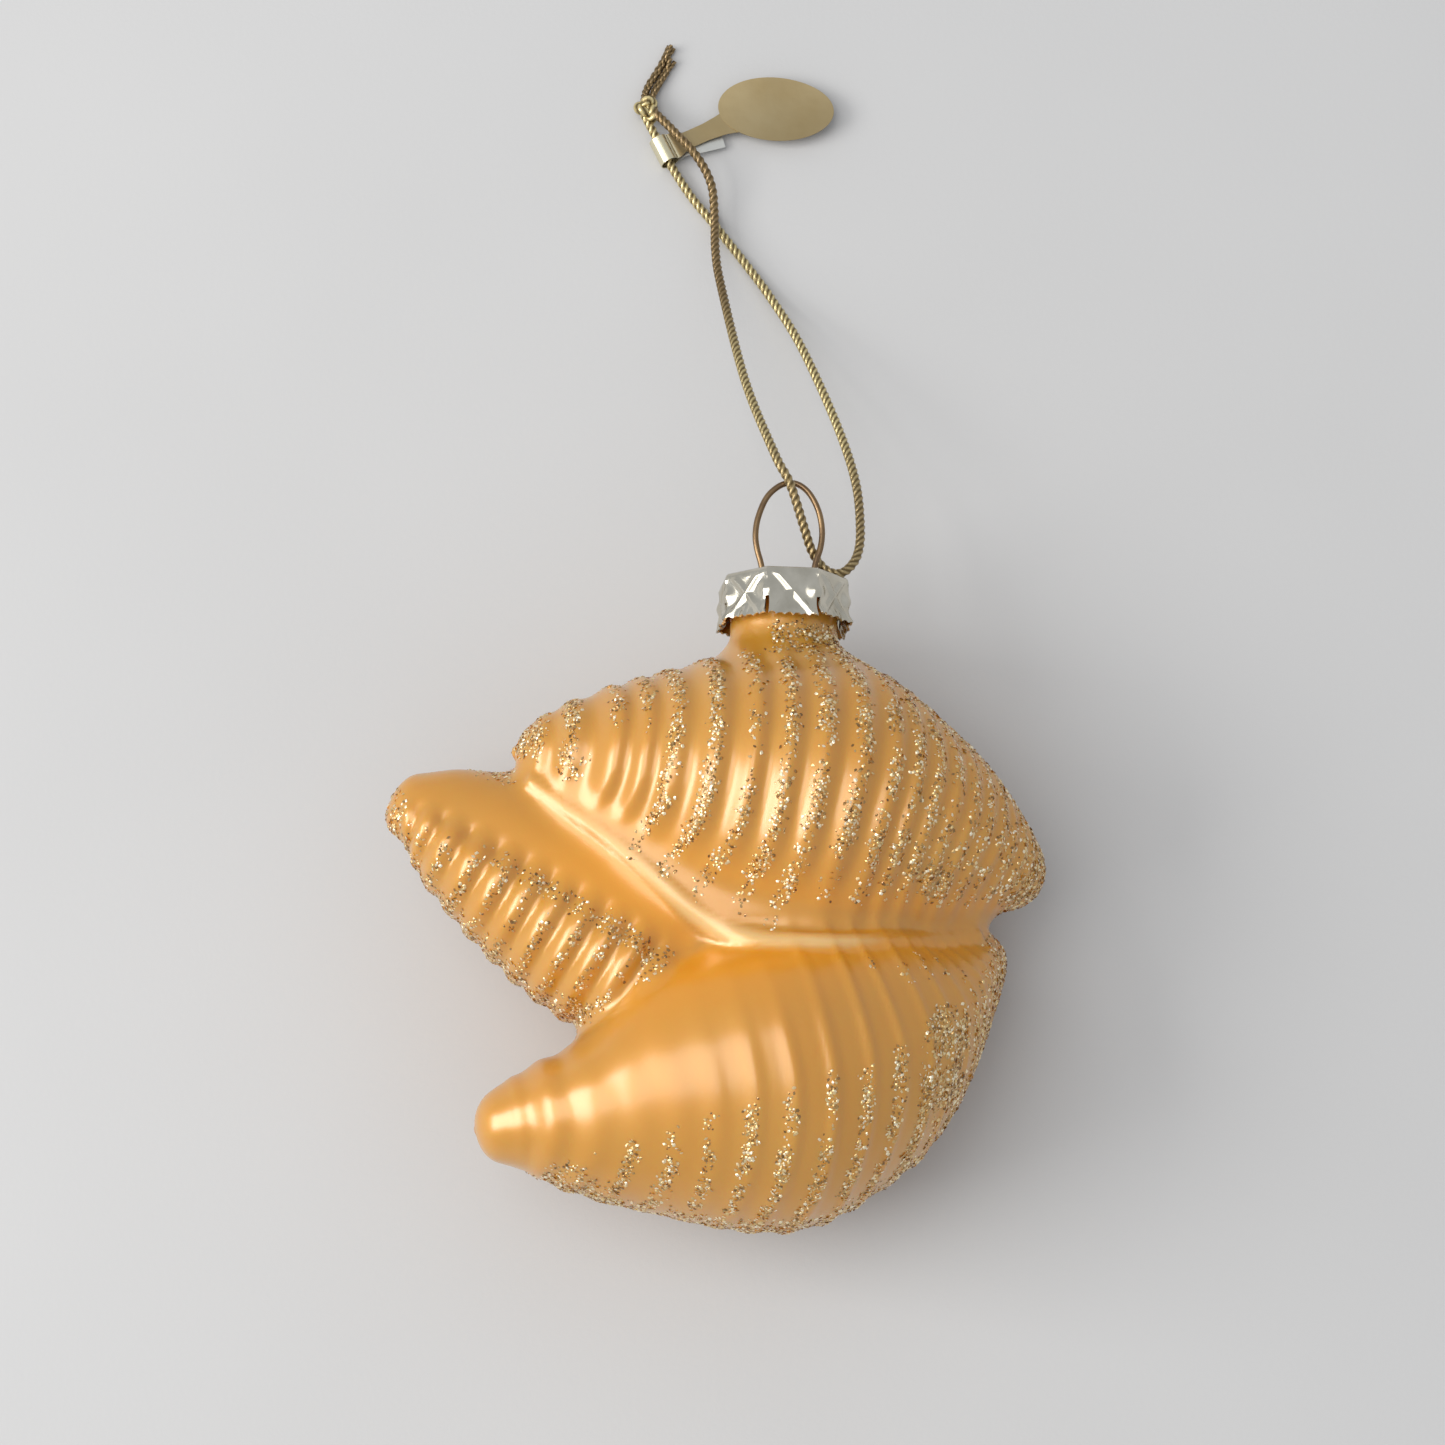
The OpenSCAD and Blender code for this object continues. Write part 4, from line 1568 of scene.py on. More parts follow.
@dataclass
class MiddleLobe(Lobe):
    """The lobe at the left, with ribs below its rim and a smooth trough above it."""

    stations: tuple = (
        (-39.4, 12.6, 17, *POINT), (-35.5, 12, 17.5, 5.6, 3.8, 4.4, 6.5),
        (-30.5, 9, 17.5, 8.6, 6.2, 6.4, 10), (-25, 5.6, 17, 9.6, 8, 7.6, 12.5),
        (-19.5, 2.2, 16.5, 10, 9.2, 8.8, 13), (-14, -1.2, 16, 9.4, 9, 9.2, 13), (-8, -5, 15.5, 6, 5, 7, 10),
    )
    crests: tuple = tuple((n + 0.6) / 13.0 for n in range(13))
    rib_height: float = 0.27
    sharpness: tuple = (0.65, 0.65)
    rim_angles: tuple = (74.0, 92.0)
    back_angles: tuple = (120.0, 160.0)
    back_loss: float = 0.45
    base: tuple = (0.86, 0.97)
    trough_depth: float = 0.8
    trough_angle: float = 82.0
    trough_above: float = 34.0
    trough_below: float = 14.0
    trough_starts: tuple = (0.06, 0.35)

    def share(self, u: np.ndarray, angle: np.ndarray) -> np.ndarray:
        """Keep the ribs on the lower side, below the rim.

        Args:
            u: Places along the lobe.
            angle: Angles round it.

        Returns:
            Shares of the ribs' height.
        """
        away = np.abs(angle)
        behind = 1.0 - self.back_loss * ease(away, *self.back_angles)
        return ease(away, *self.rim_angles) * behind * (1.0 - ease(u, *self.base))

    def dent(self, u: np.ndarray, angle: np.ndarray) -> np.ndarray:
        """Hollow the front between the rim and the lip.

        Args:
            u: Places along the lobe.
            angle: Angles round it.

        Returns:
            How deep the trough is.
        """
        off = angle - self.trough_angle
        wide = np.where(angle > self.trough_angle, self.trough_below, self.trough_above)
        return self.trough_depth * np.exp(-((off / wide) ** 2)) * ease(u, *self.trough_starts)


@dataclass
class LowerLobe(Lobe):
    """The lobe at the bottom, ringed at its tip and sharply ribbed at its right."""

    stations: tuple = (
        (-30, -18.6, 18.5, *POINT), (-25.5, -17.8, 18.2, 4.6, 5, 5.6, 9),
        (-18, -16.2, 17.6, 7.2, 9.8, 9.6, 14.5), (-10, -13.9, 16.8, 12, 14.2, 13, 17),
        (-1, -11.8, 15.6, 13, 16.2, 15, 16), (8, -9.4, 14, 12.6, 13, 13.4, 14.4),
        (15.5, -5.8, 12, 9, 6, 9.6, 10.5), (21.2, 0.8, 10, *POINT),
    )
    crests: tuple = (
        0.122, 0.197, 0.27, 0.331, 0.388, 0.445, 0.502, 0.554, 0.609, 0.663, 0.708, 0.753, 0.793, 0.83,
        0.862, 0.89, 0.915, 0.938, 0.96,
    )
    rib_height: float = 0.09
    sharpness: tuple = (1.0, 4.5)
    blunt: float = 0.9
    tip_ends: tuple = (0.2, 0.3)
    right_starts: tuple = (0.55, 0.72)
    soft_share: tuple = (0.2, 0.8)
    soft_angles: tuple = (55.0, 115.0)
    least_share: float = 0.3
    added_share: float = 0.7
    body_starts: tuple = (0.36, 0.55)
    rings_start: tuple = (0.11, 0.15)
    seam: float = -60.0
    bow: float = 0.075
    bow_angles: tuple = (95.0, 190.0)
    bow_fade: tuple = (215.0, 300.0)
    bow_starts: tuple = (0.0, 0.25)

    def share(self, u: np.ndarray, angle: np.ndarray) -> np.ndarray:
        """Soften the ribs on the upper left, behind the tip.

        Args:
            u: Places along the lobe.
            angle: Angles round it.

        Returns:
            Shares of the ribs' height.
        """
        tip = 1.0 - ease(u, *self.tip_ends)
        least, rest = self.soft_share
        soft = least + rest * ease(angle, *self.soft_angles)
        kept = soft + (1.0 - soft) * np.maximum(tip, ease(u, *self.right_starts))
        front = np.where(angle > 0.0, kept, 1.0)
        along = self.least_share + self.added_share * tip + self.added_share * ease(u, *self.body_starts)
        return front * along * ease(u, *self.rings_start)

    def lean(self, u: np.ndarray, angle: np.ndarray) -> np.ndarray:
        """Bow the ribs to the left towards the bottom.

        Args:
            u: Places along the lobe.
            angle: Angles round it.

        Returns:
            How far the ribs are moved.
        """
        turned = turn_from(angle, self.seam)
        bowed = -self.bow * ease(turned, *self.bow_angles) * (1.0 - ease(turned, *self.bow_fade))
        return bowed * ease(u, *self.bow_starts)


@dataclass
class Glass:
    """The blown glass: three lobes, the valley's floor, the rolled lip and the neck.

    The floor, the foot and the heart are chains of balls, each x, y, z and a radius: they fill the valley,
    carry the upper lobe down to the lip and close the middle. The lip lies along its route, with a radius
    and a height above the ground at each point. The mesh is drawn on a grid from low to high. Its deep
    mark is a painted glow, a saturated orange on the faces round the valley, and its lip highlight mark
    is a painted highlight along the lip.
    """

    upper: Lobe = field(default_factory=UpperLobe)
    middle: Lobe = field(default_factory=MiddleLobe)
    lower: Lobe = field(default_factory=LowerLobe)
    floor: tuple = (
        (-21, 13.8, 15.9, 5), (-17, 10.8, 15.5, 6), (-13, 7.3, 15.5, 7), (-9, 3.9, 16.1, 7),
        (-5, 1.9, 16.4, 7), (-1, 1.1, 16.2, 7), (3.2, 0.9, 16.4, 6.5), (7.2, 1, 16, 5.5),
        (11.8, 1.6, 15.2, 4), (16, 2.2, 13.5, 2.5),
    )
    foot: tuple = (
        (-23.6, 15.3, 19.8, 1.6), (-20.7, 13.1, 21.1, 1.6), (-16.7, 10.2, 22, 1.6), (-12.6, 6.6, 22.4, 1.6),
        (-8.8, 3.4, 22.4, 1.5), (-5.5, 1.7, 22.4, 1.4), (-1.9, 1.3, 22.4, 1.3), (2.2, 1.2, 22.4, 1.1),
    )
    heart: tuple = ((-17, 5, 11.5, 8), (-4, -3, 11, 8), (13, 3.5, 10.5, 7))
    fillet: float = 2.4
    skirt_fillet: float = 5.4
    lip_route: tuple = (
        (-24.8, 15), (-21.3, 12.2), (-17.3, 9.3), (-13.3, 5.8), (-9.4, 2.3), (-5.8, -0.1), (-2, -1.2),
        (2.4, -1.4), (6.4, -1.3), (11, -0.7), (15.6, 0.1), (19, 0.8),
    )
    lip_radii: tuple = (0.3, 0.4, 0.5, 0.65, 0.8, 0.9, 0.8, 0.7, 0.6, 0.45, 0.35, 0.25)
    lip_proud: tuple = (0.0, 0.03, 0.12, 0.25, 0.35, 0.45, 0.7, 0.85, 0.65, 0.35, 0.0, -0.2)
    lip_points: int = 45
    lip_evened: int = 3
    lip_fillet: tuple = (1.0, 1.2)
    lip_fillet_x: tuple = (-8.0, -3.0)
    lip_near: float = 4.0
    lip_far: float = 9.0
    ground_z: tuple = (8.0, 34.0)
    ground_halvings: int = 24
    neck_r: float = 5.4
    neck_top: float = 36.5
    neck_foot: float = 18.0
    neck_flare: float = 1.2
    neck_flare_y: tuple = (31.0, 27.0)
    neck_fillet: float = 3.0
    bore_r: float = 4.4
    bore_from: float = 17.0
    chamber_at: tuple = (0.0, 15.0, 15.5)
    chamber_r: float = 8.5
    step: tuple = (0.36, 0.5, 0.5)
    low: tuple = (-41.2, -30.4, -1.2)
    high: tuple = (27.4, 38.4, 33.0)
    block: int = 6
    block_margin: float = 2.2
    # Where the painted glow lies: the edge of each lobe, the weight of its trough, skirt and crown marks, and
    # their angles and places
    lobe_edge: tuple = (-1.0, -0.2)
    painted_glow_shares: tuple = (0.9, 0.6, 0.8)
    trough_angle: float = 66.0
    trough_half: float = 24.0
    trough_along: tuple = (0.2, 0.7)
    skirt_angles: tuple = (118.0, 150.0)
    crown_front: tuple = (45.0, 85.0)
    crown_back: tuple = (-60.0, -20.0)
    crown_along: tuple = (0.3, 0.45)
    # Where the painted highlight lies along the lip: its reach, its share at the left end and where it fades
    painted_highlight_reach: float = 0.5
    painted_highlight_left: tuple = (0.25, 0.75)
    painted_highlight_left_x: tuple = (-20.0, -10.0)
    painted_highlight_right_x: tuple = (5.0, 12.0)

    def __post_init__(self) -> None:
        """Lay the lip on the ground between the lobes."""
        rows = [(*spot, r, proud) for spot, r, proud in zip(self.lip_route, self.lip_radii, self.lip_proud)]
        laid = curve_through(rows, np.linspace(0.0, 1.0, self.lip_points))
        self.lip_r = laid[:, 2]
        heights = moving_mean(self._ground(laid[:, :2]), self.lip_evened)
        self.lip = np.column_stack([laid[:, :2], heights + laid[:, 3] - self.lip_r])

    def _ground(self, spots: np.ndarray) -> np.ndarray:
        """Find the height of the lobes' front at places seen from above.

        Args:
            spots: X and Y of each place.

        Returns:
            The heights.
        """
        low, high = (np.full(len(spots), z) for z in self.ground_z)
        for _ in range(self.ground_halvings):
            middle = (low + high) / 2.0
            outside = self.bare(np.column_stack([spots, middle])) > 0.0
            high = np.where(outside, middle, high)
            low = np.where(outside, low, middle)
        return (low + high) / 2.0

    def bare(self, points: Points) -> np.ndarray:
        """Measure the distance to the lobes, the heart between them and the valley's floor.

        Args:
            points: Where to measure.

        Returns:
            Distances, negative inside.
        """
        floor, foot, heart = (np.array(chain, float) for chain in (self.floor, self.foot, self.heart))
        bed = chain_distance(points, floor[:, :3], floor[:, 3])
        joined = blend_min(self.upper.distance(points), bed, self.skirt_fillet)
        joined = blend_min(joined, chain_distance(points, foot[:, :3], foot[:, 3]), self.fillet)
        joined = blend_min(joined, self.middle.distance(points), self.fillet)
        joined = blend_min(joined, self.lower.distance(points), self.fillet)
        return blend_min(joined, chain_distance(points, heart[:, :3], heart[:, 3]), self.fillet)

    def distance(self, points: Points) -> np.ndarray:
        """Measure the distance to the whole glass, with its bore, its chamber and its flat back.

        Args:
            points: Where to measure.

        Returns:
            Distances, negative inside.
        """
        x, y, z = points.T
        shape = self.bare(points)
        near = shape < self.lip_near
        lip = np.full(len(points), self.lip_far)
        lip[near] = chain_distance(points[near], self.lip, self.lip_r)
        left, right = self.lip_fillet
        shape = blend_min(shape, lip, left + (right - left) * ease(x, *self.lip_fillet_x))
        around = np.hypot(x, z - AXIS_H)
        side = around - self.neck_r - self.neck_flare * ease(y, *self.neck_flare_y)
        neck = np.maximum(np.maximum(side, y - self.neck_top), self.neck_foot - y)
        shape = blend_min(shape, neck, self.neck_fillet)
        bore = np.maximum(around - self.bore_r, self.bore_from - y)
        chamber = np.linalg.norm(points - np.array(self.chamber_at), axis=1) - self.chamber_r
        hollow = np.minimum(bore, chamber)
        return np.maximum(np.maximum(shape, -hollow), -z)

    def build(self) -> bpy.types.Object:
        """Make the glass, with numbers for its finish.

        Returns:
            The piece.
        """
        low, step = np.array(self.low), np.array(self.step)
        size = np.ceil((np.array(self.high) - low) / step).astype(int)
        axes = [low[n] + step[n] * np.arange(size[n]) for n in range(3)]
        points, faces = surface_net(self._near_surface(axes), low, step)
        points = self._settle(points, faces)
        piece = make_piece("glass_shell", points, faces)
        self._mark(piece, points)
        dress(piece, PearlGlass().material())
        hand_over(piece, Body.GLASS, ["glass_body"])
        return piece

    def _near_surface(self, axes: Sequence[np.ndarray]) -> np.ndarray:
        """Measure distances on a grid, closely only near the surface.

        Args:
            axes: The grid's places along X, Y and Z.

        Returns:
            The distance at each point of the grid.
        """
        coarse = np.stack(np.meshgrid(*(axis[:: self.block] for axis in axes), indexing="ij"), axis=-1)
        values = self.distance(coarse.reshape(-1, 3)).reshape(coarse.shape[:3])
        for n, axis in enumerate(axes):
            values = np.repeat(values, self.block, axis=n)
            values = np.take(values, np.arange(len(axis)), axis=n)
        close = np.argwhere(np.abs(values) < self.block * max(self.step) * self.block_margin)
        spots = np.stack([axes[n][close[:, n]] for n in range(3)], axis=1)
        values[tuple(close.T)] = self.distance(spots)
        return values

    def _settle(self, points: np.ndarray, faces: np.ndarray) -> np.ndarray:
        """Even out the points and put them on the true surface.

        Args:
            points: The mesh's points.
            faces: Its four-sided faces.

        Returns:
            The moved points.
        """
        pairs = np.vstack([faces[:, [n, (n + 1) % 4]] for n in range(4)])
        count = np.bincount(pairs.ravel(), minlength=len(points))[:, None]
        for even in (True, True, False):
            if even:
                total = np.zeros_like(points)
                np.add.at(total, pairs[:, 0], points[pairs[:, 1]])
                np.add.at(total, pairs[:, 1], points[pairs[:, 0]])
                points = points + 0.5 * (total / count - points)
            points = self._onto(points)
        return points

    def _onto(self, points: np.ndarray, nudge: float = 0.02, limit: float = 0.3) -> np.ndarray:
        """Move points along the slope onto the surface.

        Args:
            points: The points to move.
            nudge: How far apart the slope is measured.
            limit: The longest move.

        Returns:
            The moved points.
        """
        flattest = 0.05
        sides = [(points + nudge * axis, points - nudge * axis) for axis in np.eye(3)]
        slope = [(self.distance(after) - self.distance(before)) / (2 * nudge) for after, before in sides]
        slope = np.stack(slope, axis=1)
        off = self.distance(points) / np.maximum((slope**2).sum(1), flattest)
        move = slope * off[:, None]
        length = np.linalg.norm(move, axis=1)[:, None]
        return points - move * np.minimum(1.0, limit / np.maximum(length, TINY))

    def _mark(self, piece: bpy.types.Object, points: np.ndarray) -> None:
        """Store where the glass has the deep painted glow and where the lip has its painted highlight.

        Args:
            piece: The glass.
            points: Its points.
        """
        lobes = (self.middle, self.upper, self.lower)
        # painted glow: saturated orange on the middle lobe's trough, the upper lobe's skirt and the lower
        # lobe's crown, the faces round the valley
        trough, skirt, crown = (ease(-lobe.distance(points), *self.lobe_edge) for lobe in lobes)
        u, angle = self.middle.polar(points)
        hollow = np.exp(-(((angle - self.trough_angle) / self.trough_half) ** 2))
        trough = trough * hollow * ease(u, *self.trough_along)
        _, angle = self.upper.polar(points)
        skirt = skirt * ease(angle, *self.skirt_angles)
        u, angle = self.lower.polar(points)
        crown = crown * (1.0 - ease(angle, *self.crown_front)) * ease(angle, *self.crown_back)
        crown = crown * ease(u, *self.crown_along)
        x = points[:, 0]
        # painted highlight along the lip, weaker at its left end and gone past its right end
        least, rest = self.painted_highlight_left
        lip = 1.0 - ease(chain_distance(points, self.lip, self.lip_r), 0.0, self.painted_highlight_reach)
        lip = lip * (least + rest * ease(x, *self.painted_highlight_left_x)) * (1.0 - ease(x, *self.painted_highlight_right_x))
        deep = sum(share * mark for share, mark in zip(self.painted_glow_shares, (trough, skirt, crown)))
        set_numbers(piece, "deep", np.clip(deep, 0.0, 1.0) * (1.0 - lip))
        set_numbers(piece, "painted_lip_highlight", lip)


# Glitter


@dataclass(frozen=True)
class Spot:
    """A patch of glitter on the front, seen from above: its place, half sizes, turn and thickness."""

    x: float
    y: float
    across: float
    along: float
    turn: float = 0.0
    share: float = 1.0


@dataclass
class GlitterCoat:
    """Loose glitter on the ribs' crests, the tips and the neck.

    Pairs are the two values between which a coat comes in or fades out: places along a lobe, angles round
    it or heights on the neck.
    """

    glass: Glass
    density: float = 28.0
    gap: float = 0.18
    flake: float = 0.2
    tilt: float = 0.6
    thinnest: float = 0.03
    off_table: float = 0.5
    bore_margin: float = 0.3
    bore_y: float = 22.0
    lobe_reach: float = 0.7
    lobe_edge: float = 0.55
    spot_edge: tuple = (0.7, 1.15)
    spot_facing: float = -0.1
    clump_sizes: tuple = (6.0, 2.6, 1.3)
    clump_waves: int = 5
    clump_middle: float = 0.82
    clump_swing: float = 0.15
    clump_least: float = 0.15

    upper_half: float = 0.7
    upper_half_least: float = 0.26
    upper_half_loss: float = 0.25
    upper_half_from: float = 0.55
    upper_begins: tuple = (-75.0, -40.0)
    upper_fades: tuple = (-14.0, 4.0)
    upper_end: float = 154.0
    upper_end_loss: float = 12.0
    upper_end_along: tuple = (0.5, 0.6)
    second_rib: int = 1
    second_end: float = 140.0
    short_ribs: tuple = (2, 3)
    short_end: float = 80.0
    thin_ribs: tuple = (2, 3, 6)
    thin_share: float = 0.65
    upper_loss: float = 0.35
    upper_loss_along: tuple = (0.6, 0.75)
    skirt_angles: tuple = (112.0, 146.0)
    skirt_starts: tuple = (0.27, 0.29)
    skirt_ends: tuple = (0.52, 0.56)
    skirt_shift: float = 0.6
    skirt_reach: float = 2.2
    upper_tip: tuple = (0.90, 0.965)
    upper_tip_angle: float = -120.0
    upper_spots: tuple = (
        Spot(-25.4, 19.4, 1.5, 3.2, 12.0), Spot(-22.2, 13.2, 1.0, 4.8, -38.0, 0.7),
        Spot(-17.7, 9.2, 0.8, 0.7), Spot(14.2, 5.0, 1.8, 2.2, share=0.7),
    )

    middle_half: float = 0.45
    middle_shift: float = -0.45
    middle_angles: tuple = (92.0, 108.0)
    middle_ends: tuple = (0.78, 0.86)
    middle_thick_from: int = 4
    middle_shares: tuple = (0.5, 0.85)
    rim_share: float = 0.5
    rim_angle: float = 92.0
    rim_half: float = 7.0
    rim_starts: tuple = (0.3, 0.45)
    below_share: float = 0.7
    below_half: float = 26.0
    below_starts: tuple = (0.05, 0.15)
    middle_spots: tuple = (
        Spot(-38.9, 12.3, 1.6, 2.6, -20.0), Spot(-13.4, -5.2, 1.2, 3.0, -12.0),
        Spot(-18.2, -7.6, 3.8, 1.1), Spot(-27.8, 16.4, 3.8, 1.5, -14.0, 0.45),
    )

    lower_half: float = 0.6
    lower_shift: float = 0.45
    lower_seam: float = -90.0
    lower_begin: float = 118.0
    lower_begin_loss: float = 16.0
    lower_begin_along: tuple = (0.25, 0.62)
    lower_begins: tuple = (-2.0, 5.0)
    lower_fades: tuple = (205.0, 225.0)
    lower_starts: tuple = (0.24, 0.28)
    edge_share: float = 0.75
    edge_angle: float = 182.0
    edge_half: float = 16.0
    edge_starts: tuple = (0.12, 0.22)
    right_share: float = 0.6
    right_starts: tuple = (0.93, 0.97)
    right_angle: float = 60.0
    speck_half: float = 0.3
    lower_specks: tuple = (Spot(12.5, -3.4, 5.5, 1.8, share=0.4),)
    lower_spots: tuple = (Spot(14.8, -12.3, 2.3, 5.6, -8.0), Spot(-20.6, -23.6, 2.7, 1.4, -15.0))

    bare_neck: tuple = (29.6, 30.2)
    neck_begins: tuple = (27.2, 28.4)
    neck_ends: tuple = (31.2, 31.5)
    neck_margin: float = 0.3
    neck_right: tuple = (0.0, 20.0)
    neck_left: tuple = (88.0, 112.0)
    neck_lean: float = 12.0
    neck_middle: float = 30.0

    def build(self, shell: bpy.types.Object, tree: ScatterTree) -> None:
        """Scatter the glitter of each lobe and of the neck over the glass.

        Args:
            shell: The finished glass.
            tree: The tree that scatters the flakes.
        """
        mesh = shell.data
        self.points = read_rows(mesh.vertices, "co", 3) / MM + MIDDLE
        self.front = read_rows(mesh.vertices, "normal", 3)[:, 2]
        corners = np.empty(len(mesh.loops), int)
        mesh.loops.foreach_get("vertex_index", corners)
        self.faces = corners.reshape(-1, 4)
        x, y, z = self.points.T
        in_bore = (y >= self.bore_y) & (np.hypot(x, z - AXIS_H) <= self.glass.bore_r + self.bore_margin)
        amount = self._clumps() * ((z > self.off_table) & ~in_bore)
        coats = {
            "upper": self._upper() * (1.0 - ease(y, *self.bare_neck)),
            "middle": self._middle(),
            "lower": self._lower(),
            "neck": self._neck(),
        }
        finish = Glitter().material()
        for name, share in coats.items():
            piece = self._scatter(f"{name}_flakes", share * amount, tree, finish)
            hand_over(piece, Body.GLASS, [f"{name}_glitter"])

    def _scatter(
        self, name: str, share: np.ndarray, tree: ScatterTree, finish: bpy.types.Material
    ) -> bpy.types.Object:
        """Scatter flakes where the share is above nothing.

        Args:
            name: The piece's name.
            share: How thickly each point of the glass is coated.
            tree: The tree that scatters the flakes.
            finish: The flakes' material.

        Returns:
            The piece.
        """
        faces = self.faces[share[self.faces].max(axis=1) > self.thinnest]
        used, index = np.unique(faces, return_inverse=True)
        piece = make_piece(name, self.points[used], index.reshape(faces.shape))
        set_numbers(piece, "share", np.clip(share[used], 0.0, 1.0))
        tree.run(
            piece, False, Density=self.density / MM**2, Gap=self.gap * MM, Flake=self.flake * MM,
            Tilt=self.tilt, Material=finish,
        )
        return piece

    def _clumps(self) -> np.ndarray:
        """Vary the glitter from thick to thin over a few millimetres.

        Returns:
            A share for each point of the glass.
        """
        rng = np.random.default_rng(SEED)
        total = np.zeros(len(self.points))
        for size in self.clump_sizes:
            for _ in range(self.clump_waves):
                wave = rng.normal(size=3)
                wave *= math.tau / size / np.linalg.norm(wave)
                total += np.sin(self.points @ wave + rng.uniform(0.0, math.tau))
        return np.clip(self.clump_middle + self.clump_swing * total, self.clump_least, 1.0)

    def _on(self, lobe: Lobe, extra: Any = 0.0) -> np.ndarray:
        """Tell which points belong to a lobe, or are within reach of it."""
        return ease(self.lobe_reach + extra - lobe.distance(self.points), 0.0, self.lobe_edge)

    @staticmethod
    def _line(off: np.ndarray, half: Any) -> np.ndarray:
        """Give the share of a line from the distance to its middle."""
        return np.exp(-((off / half) ** 4))

    def _spots(self, spots: Sequence[Spot]) -> np.ndarray:
        """Give the share of patches on the front.

        Args:
            spots: The patches.

        Returns:
            Their summed share at each point of the glass.
        """
        total = np.zeros(len(self.points))
        for spot in spots:
            x, y = (self.points[:, :2] - (spot.x, spot.y)).T
            c, s = math.cos(math.radians(spot.turn)), math.sin(math.radians(spot.turn))
            near = np.hypot((x * c + y * s) / spot.across, (y * c - x * s) / spot.along)
            total += spot.share * (1.0 - ease(near, *self.spot_edge))
        return total * (self.front > self.spot_facing)

    def _upper(self) -> np.ndarray:
        """Coat the upper lobe's crests, its left end and its right tip.

        Returns:
            A share for each point of the glass.
        """
        lobe = self.glass.upper
        u, angle = lobe.polar(self.points)
        rib, off = lobe.off_crest(u, angle)
        end = self.upper_end - self.upper_end_loss * ease(u, *self.upper_end_along)
        end = np.where(rib == self.second_rib, self.second_end, end)
        end = np.where(np.isin(rib, self.short_ribs), self.short_end, end)
        window = ease(angle, *self.upper_begins) * (1.0 - ease(angle - end, *self.upper_fades))
        strength = np.where(np.isin(rib, self.thin_ribs), self.thin_share, 1.0)
        strength = strength * (1.0 - self.upper_loss * ease(u, *self.upper_loss_along))
        half = self.upper_half - self.upper_half_loss * (u - self.upper_half_from)
        half = np.clip(half, self.upper_half_least, self.upper_half)
        skirt = ease(angle, *self.skirt_angles) * ease(u, *self.skirt_starts)
        skirt = skirt * (1.0 - ease(u, *self.skirt_ends))
        lines = self._line(off + self.skirt_shift * skirt, half) * window * strength
        tip = ease(u, *self.upper_tip) * (angle > self.upper_tip_angle)
        coat = np.clip(lines + tip + self._spots(self.upper_spots), 0.0, 1.0)
        return self._on(lobe, self.skirt_reach * skirt) * coat

    def _middle(self) -> np.ndarray:
        """Coat the middle lobe's tip, its ribs' lower flanks, its rim and its base.

        Returns:
            A share for each point of the glass.
        """
        lobe = self.glass.middle
        u, angle = lobe.polar(self.points)
        rib, off = lobe.off_crest(u, angle)
        thin, thick = self.middle_shares
        strength = np.where(rib >= self.middle_thick_from, thick, thin) * (1.0 - ease(u, *self.middle_ends))
        window = ease(np.abs(angle), *self.middle_angles)
        lines = self._line(off + self.middle_shift, self.middle_half) * window * strength
        rim = self.rim_share * self._line(angle - self.rim_angle, self.rim_half)
        rim = rim * ease(u, *self.rim_starts) * (angle > 0.0)
        below = self.below_share * self._line(np.abs(angle) - 180.0, self.below_half)
        below = below * ease(u, *self.below_starts)
        return self._on(lobe) * np.clip(lines + self._spots(self.middle_spots) + rim + below, 0.0, 1.0)

    def _lower(self) -> np.ndarray:
        """Coat the lower ends of the lower lobe's crests, its right side and its bottom edge.

        Returns:
            A share for each point of the glass.
        """
        lobe = self.glass.lower
        u, angle = lobe.polar(self.points)
        _, off = lobe.off_crest(u, angle)
        turned = turn_from(angle, self.lower_seam)
        begin = self.lower_begin - self.lower_begin_loss * ease(u, *self.lower_begin_along)
        window = ease(turned - begin, *self.lower_begins) * (1.0 - ease(turned, *self.lower_fades))
        lines = self._line(off + self.lower_shift, self.lower_half) * window * ease(u, *self.lower_starts)
        edge = self.edge_share * self._line(turned - self.edge_angle, self.edge_half)
        edge = edge * ease(u, *self.edge_starts)
        specks = self._spots(self.lower_specks) * self._line(off, self.speck_half)
        right = self.right_share * ease(u, *self.right_starts) * (turned > self.right_angle)
        coat = lines + self._spots(self.lower_spots) + edge + specks + right
        return self._on(lobe) * np.clip(coat, 0.0, 1.0)

    def _neck(self) -> np.ndarray:
        """Coat the right front of the neck, below the cap.

        Returns:
            A share for each point of the glass.
        """
        x, y, z = self.points.T
        around = np.degrees(np.arctan2(z - AXIS_H, x))
        band = ease(y, *self.neck_begins) * (1.0 - ease(y, *self.neck_ends))
        outside = np.hypot(x, z - AXIS_H) > self.glass.neck_r - self.neck_margin
        fades, ends = self.neck_left
        fades = fades + self.neck_lean * (y - self.neck_middle)
        return band * outside * ease(around, *self.neck_right) * (1.0 - ease(around, fades, ends))


# Stage


@dataclass(frozen=True)
class Lamp:
    """One soft lamp that points at the ornament. Its place and size are in metres."""

    name: str
    place: tuple
    size: tuple
    watts: float
    colour: tuple

    def hang(self) -> None:
        """Put the lamp in the scene."""
        data = bpy.data.lights.new(self.name, "AREA")
        data.shape = "RECTANGLE"
        data.size, data.size_y = self.size
        data.energy = self.watts
        data.color = self.colour
        lamp = bpy.data.objects.new(self.name, data)
        lamp.location = self.place
        lamp.rotation_euler = (-Vector(self.place)).to_track_quat("-Z", "Y").to_euler()
        bpy.context.scene.collection.objects.link(lamp)


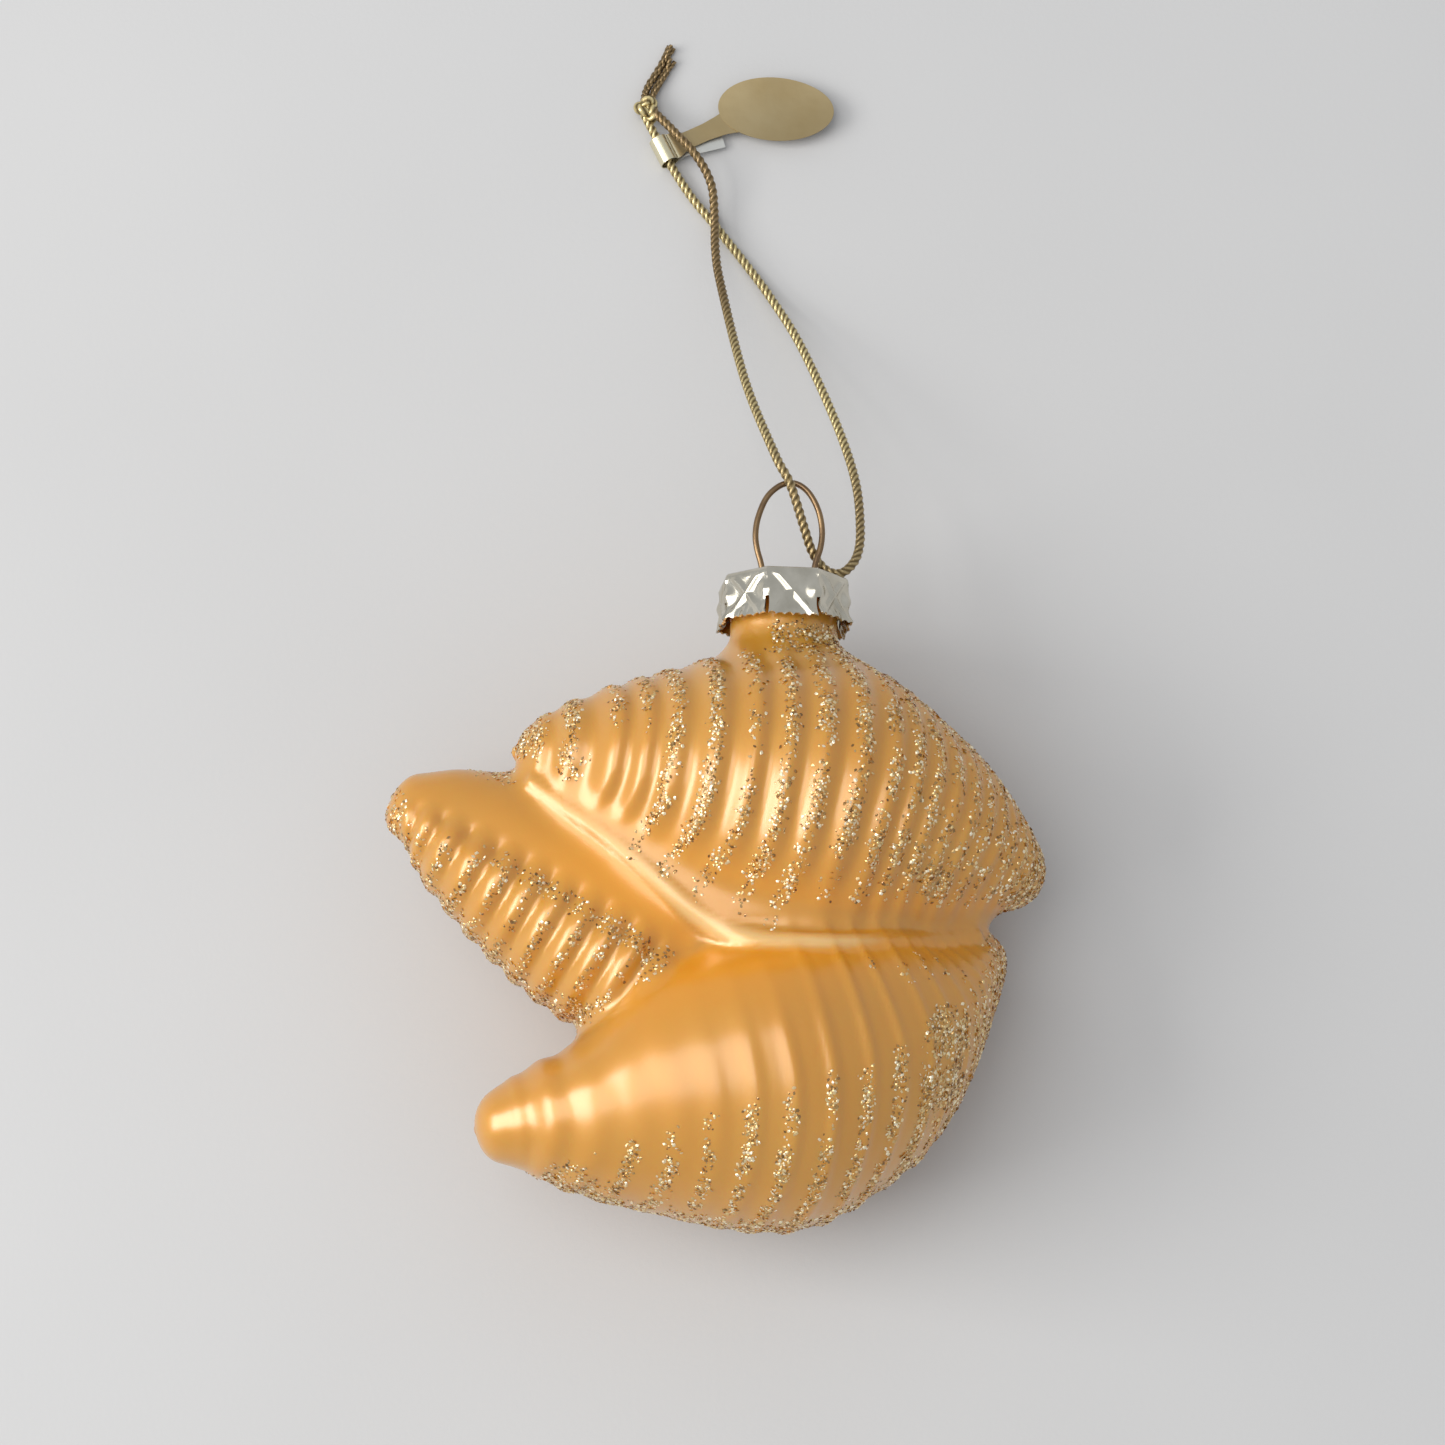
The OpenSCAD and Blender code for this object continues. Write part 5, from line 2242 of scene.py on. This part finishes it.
@dataclass
class Stage:
    """The table, the light and the camera, which stands as it did for the photograph."""

    picture_px: float = 1445.0
    focal_px: float = 3200.0
    sensor_mm: float = 36.0
    elevation: float = 77.0
    distance: float = 320.0
    target: tuple = (-6.15, 22.33, 16.0)
    clip: tuple = (0.01, 10.0)
    floor_half: float = 1.5
    lamps: tuple = (
        Lamp("window", (-0.64, -0.05, 0.44), (0.5, 0.36), 3.7, (1.0, 0.99, 0.97)),
        Lamp("ceiling", (-0.3, -0.02, 0.85), (0.6, 0.6), 2.7, (1.0, 0.98, 0.96)),
    )
    room: tuple = (0.86, 0.89, 0.93, 1.0)
    room_strength: float = 0.62

    def build(self) -> None:
        """Make the camera, the lights and the floor."""
        self._camera()
        self._lights()
        corners = np.array([(x, y, 0.0) for x in (-1, 1) for y in (-1, 1)]) * self.floor_half / MM
        floor = make_piece("table", corners, [(0, 2, 3, 1)])
        dress(floor, PaleCloth().material())

    def _camera(self) -> None:
        """Set the camera at the photograph's viewing angle."""
        data = bpy.data.cameras.new("photo_camera")
        data.sensor_width = self.sensor_mm
        data.lens = data.sensor_width * self.focal_px / self.picture_px
        data.clip_start, data.clip_end = self.clip
        camera = bpy.data.objects.new("photo_camera", data)
        tilt = math.radians(self.elevation)
        back = Vector((0.0, -math.cos(tilt), math.sin(tilt)))
        camera.location = Vector(to_frame(self.target)) + back * self.distance * MM
        camera.rotation_euler = (-back).to_track_quat("-Z", "Y").to_euler()
        bpy.context.scene.collection.objects.link(camera)
        bpy.context.scene.camera = camera

    def _lights(self) -> None:
        """Light the table from a soft window on the left, the ceiling and a dim room."""
        for lamp in self.lamps:
            lamp.hang()
        world = bpy.data.worlds.new("room")
        world.use_nodes = True
        background = world.node_tree.nodes["Background"]
        background.inputs["Color"].default_value = self.room
        background.inputs["Strength"].default_value = self.room_strength
        scene = bpy.context.scene
        scene.world = world
        scene.view_settings.view_transform = "Standard"


def main() -> None:
    """Build the stage, then each sub-assembly in order."""
    logging.basicConfig(level=logging.INFO, format="%(name)s: %(message)s")
    Stage().build()
    sweep, scatter = SweepTree(), ScatterTree()
    CordLoop().build(sweep)
    CrownCap().build()
    WireHanger().build(sweep)
    FoilLabel().build()
    glass = Glass()
    shell = glass.build()
    GlitterCoat(glass).build(shell, scatter)


if __name__ == "__main__":
    main()
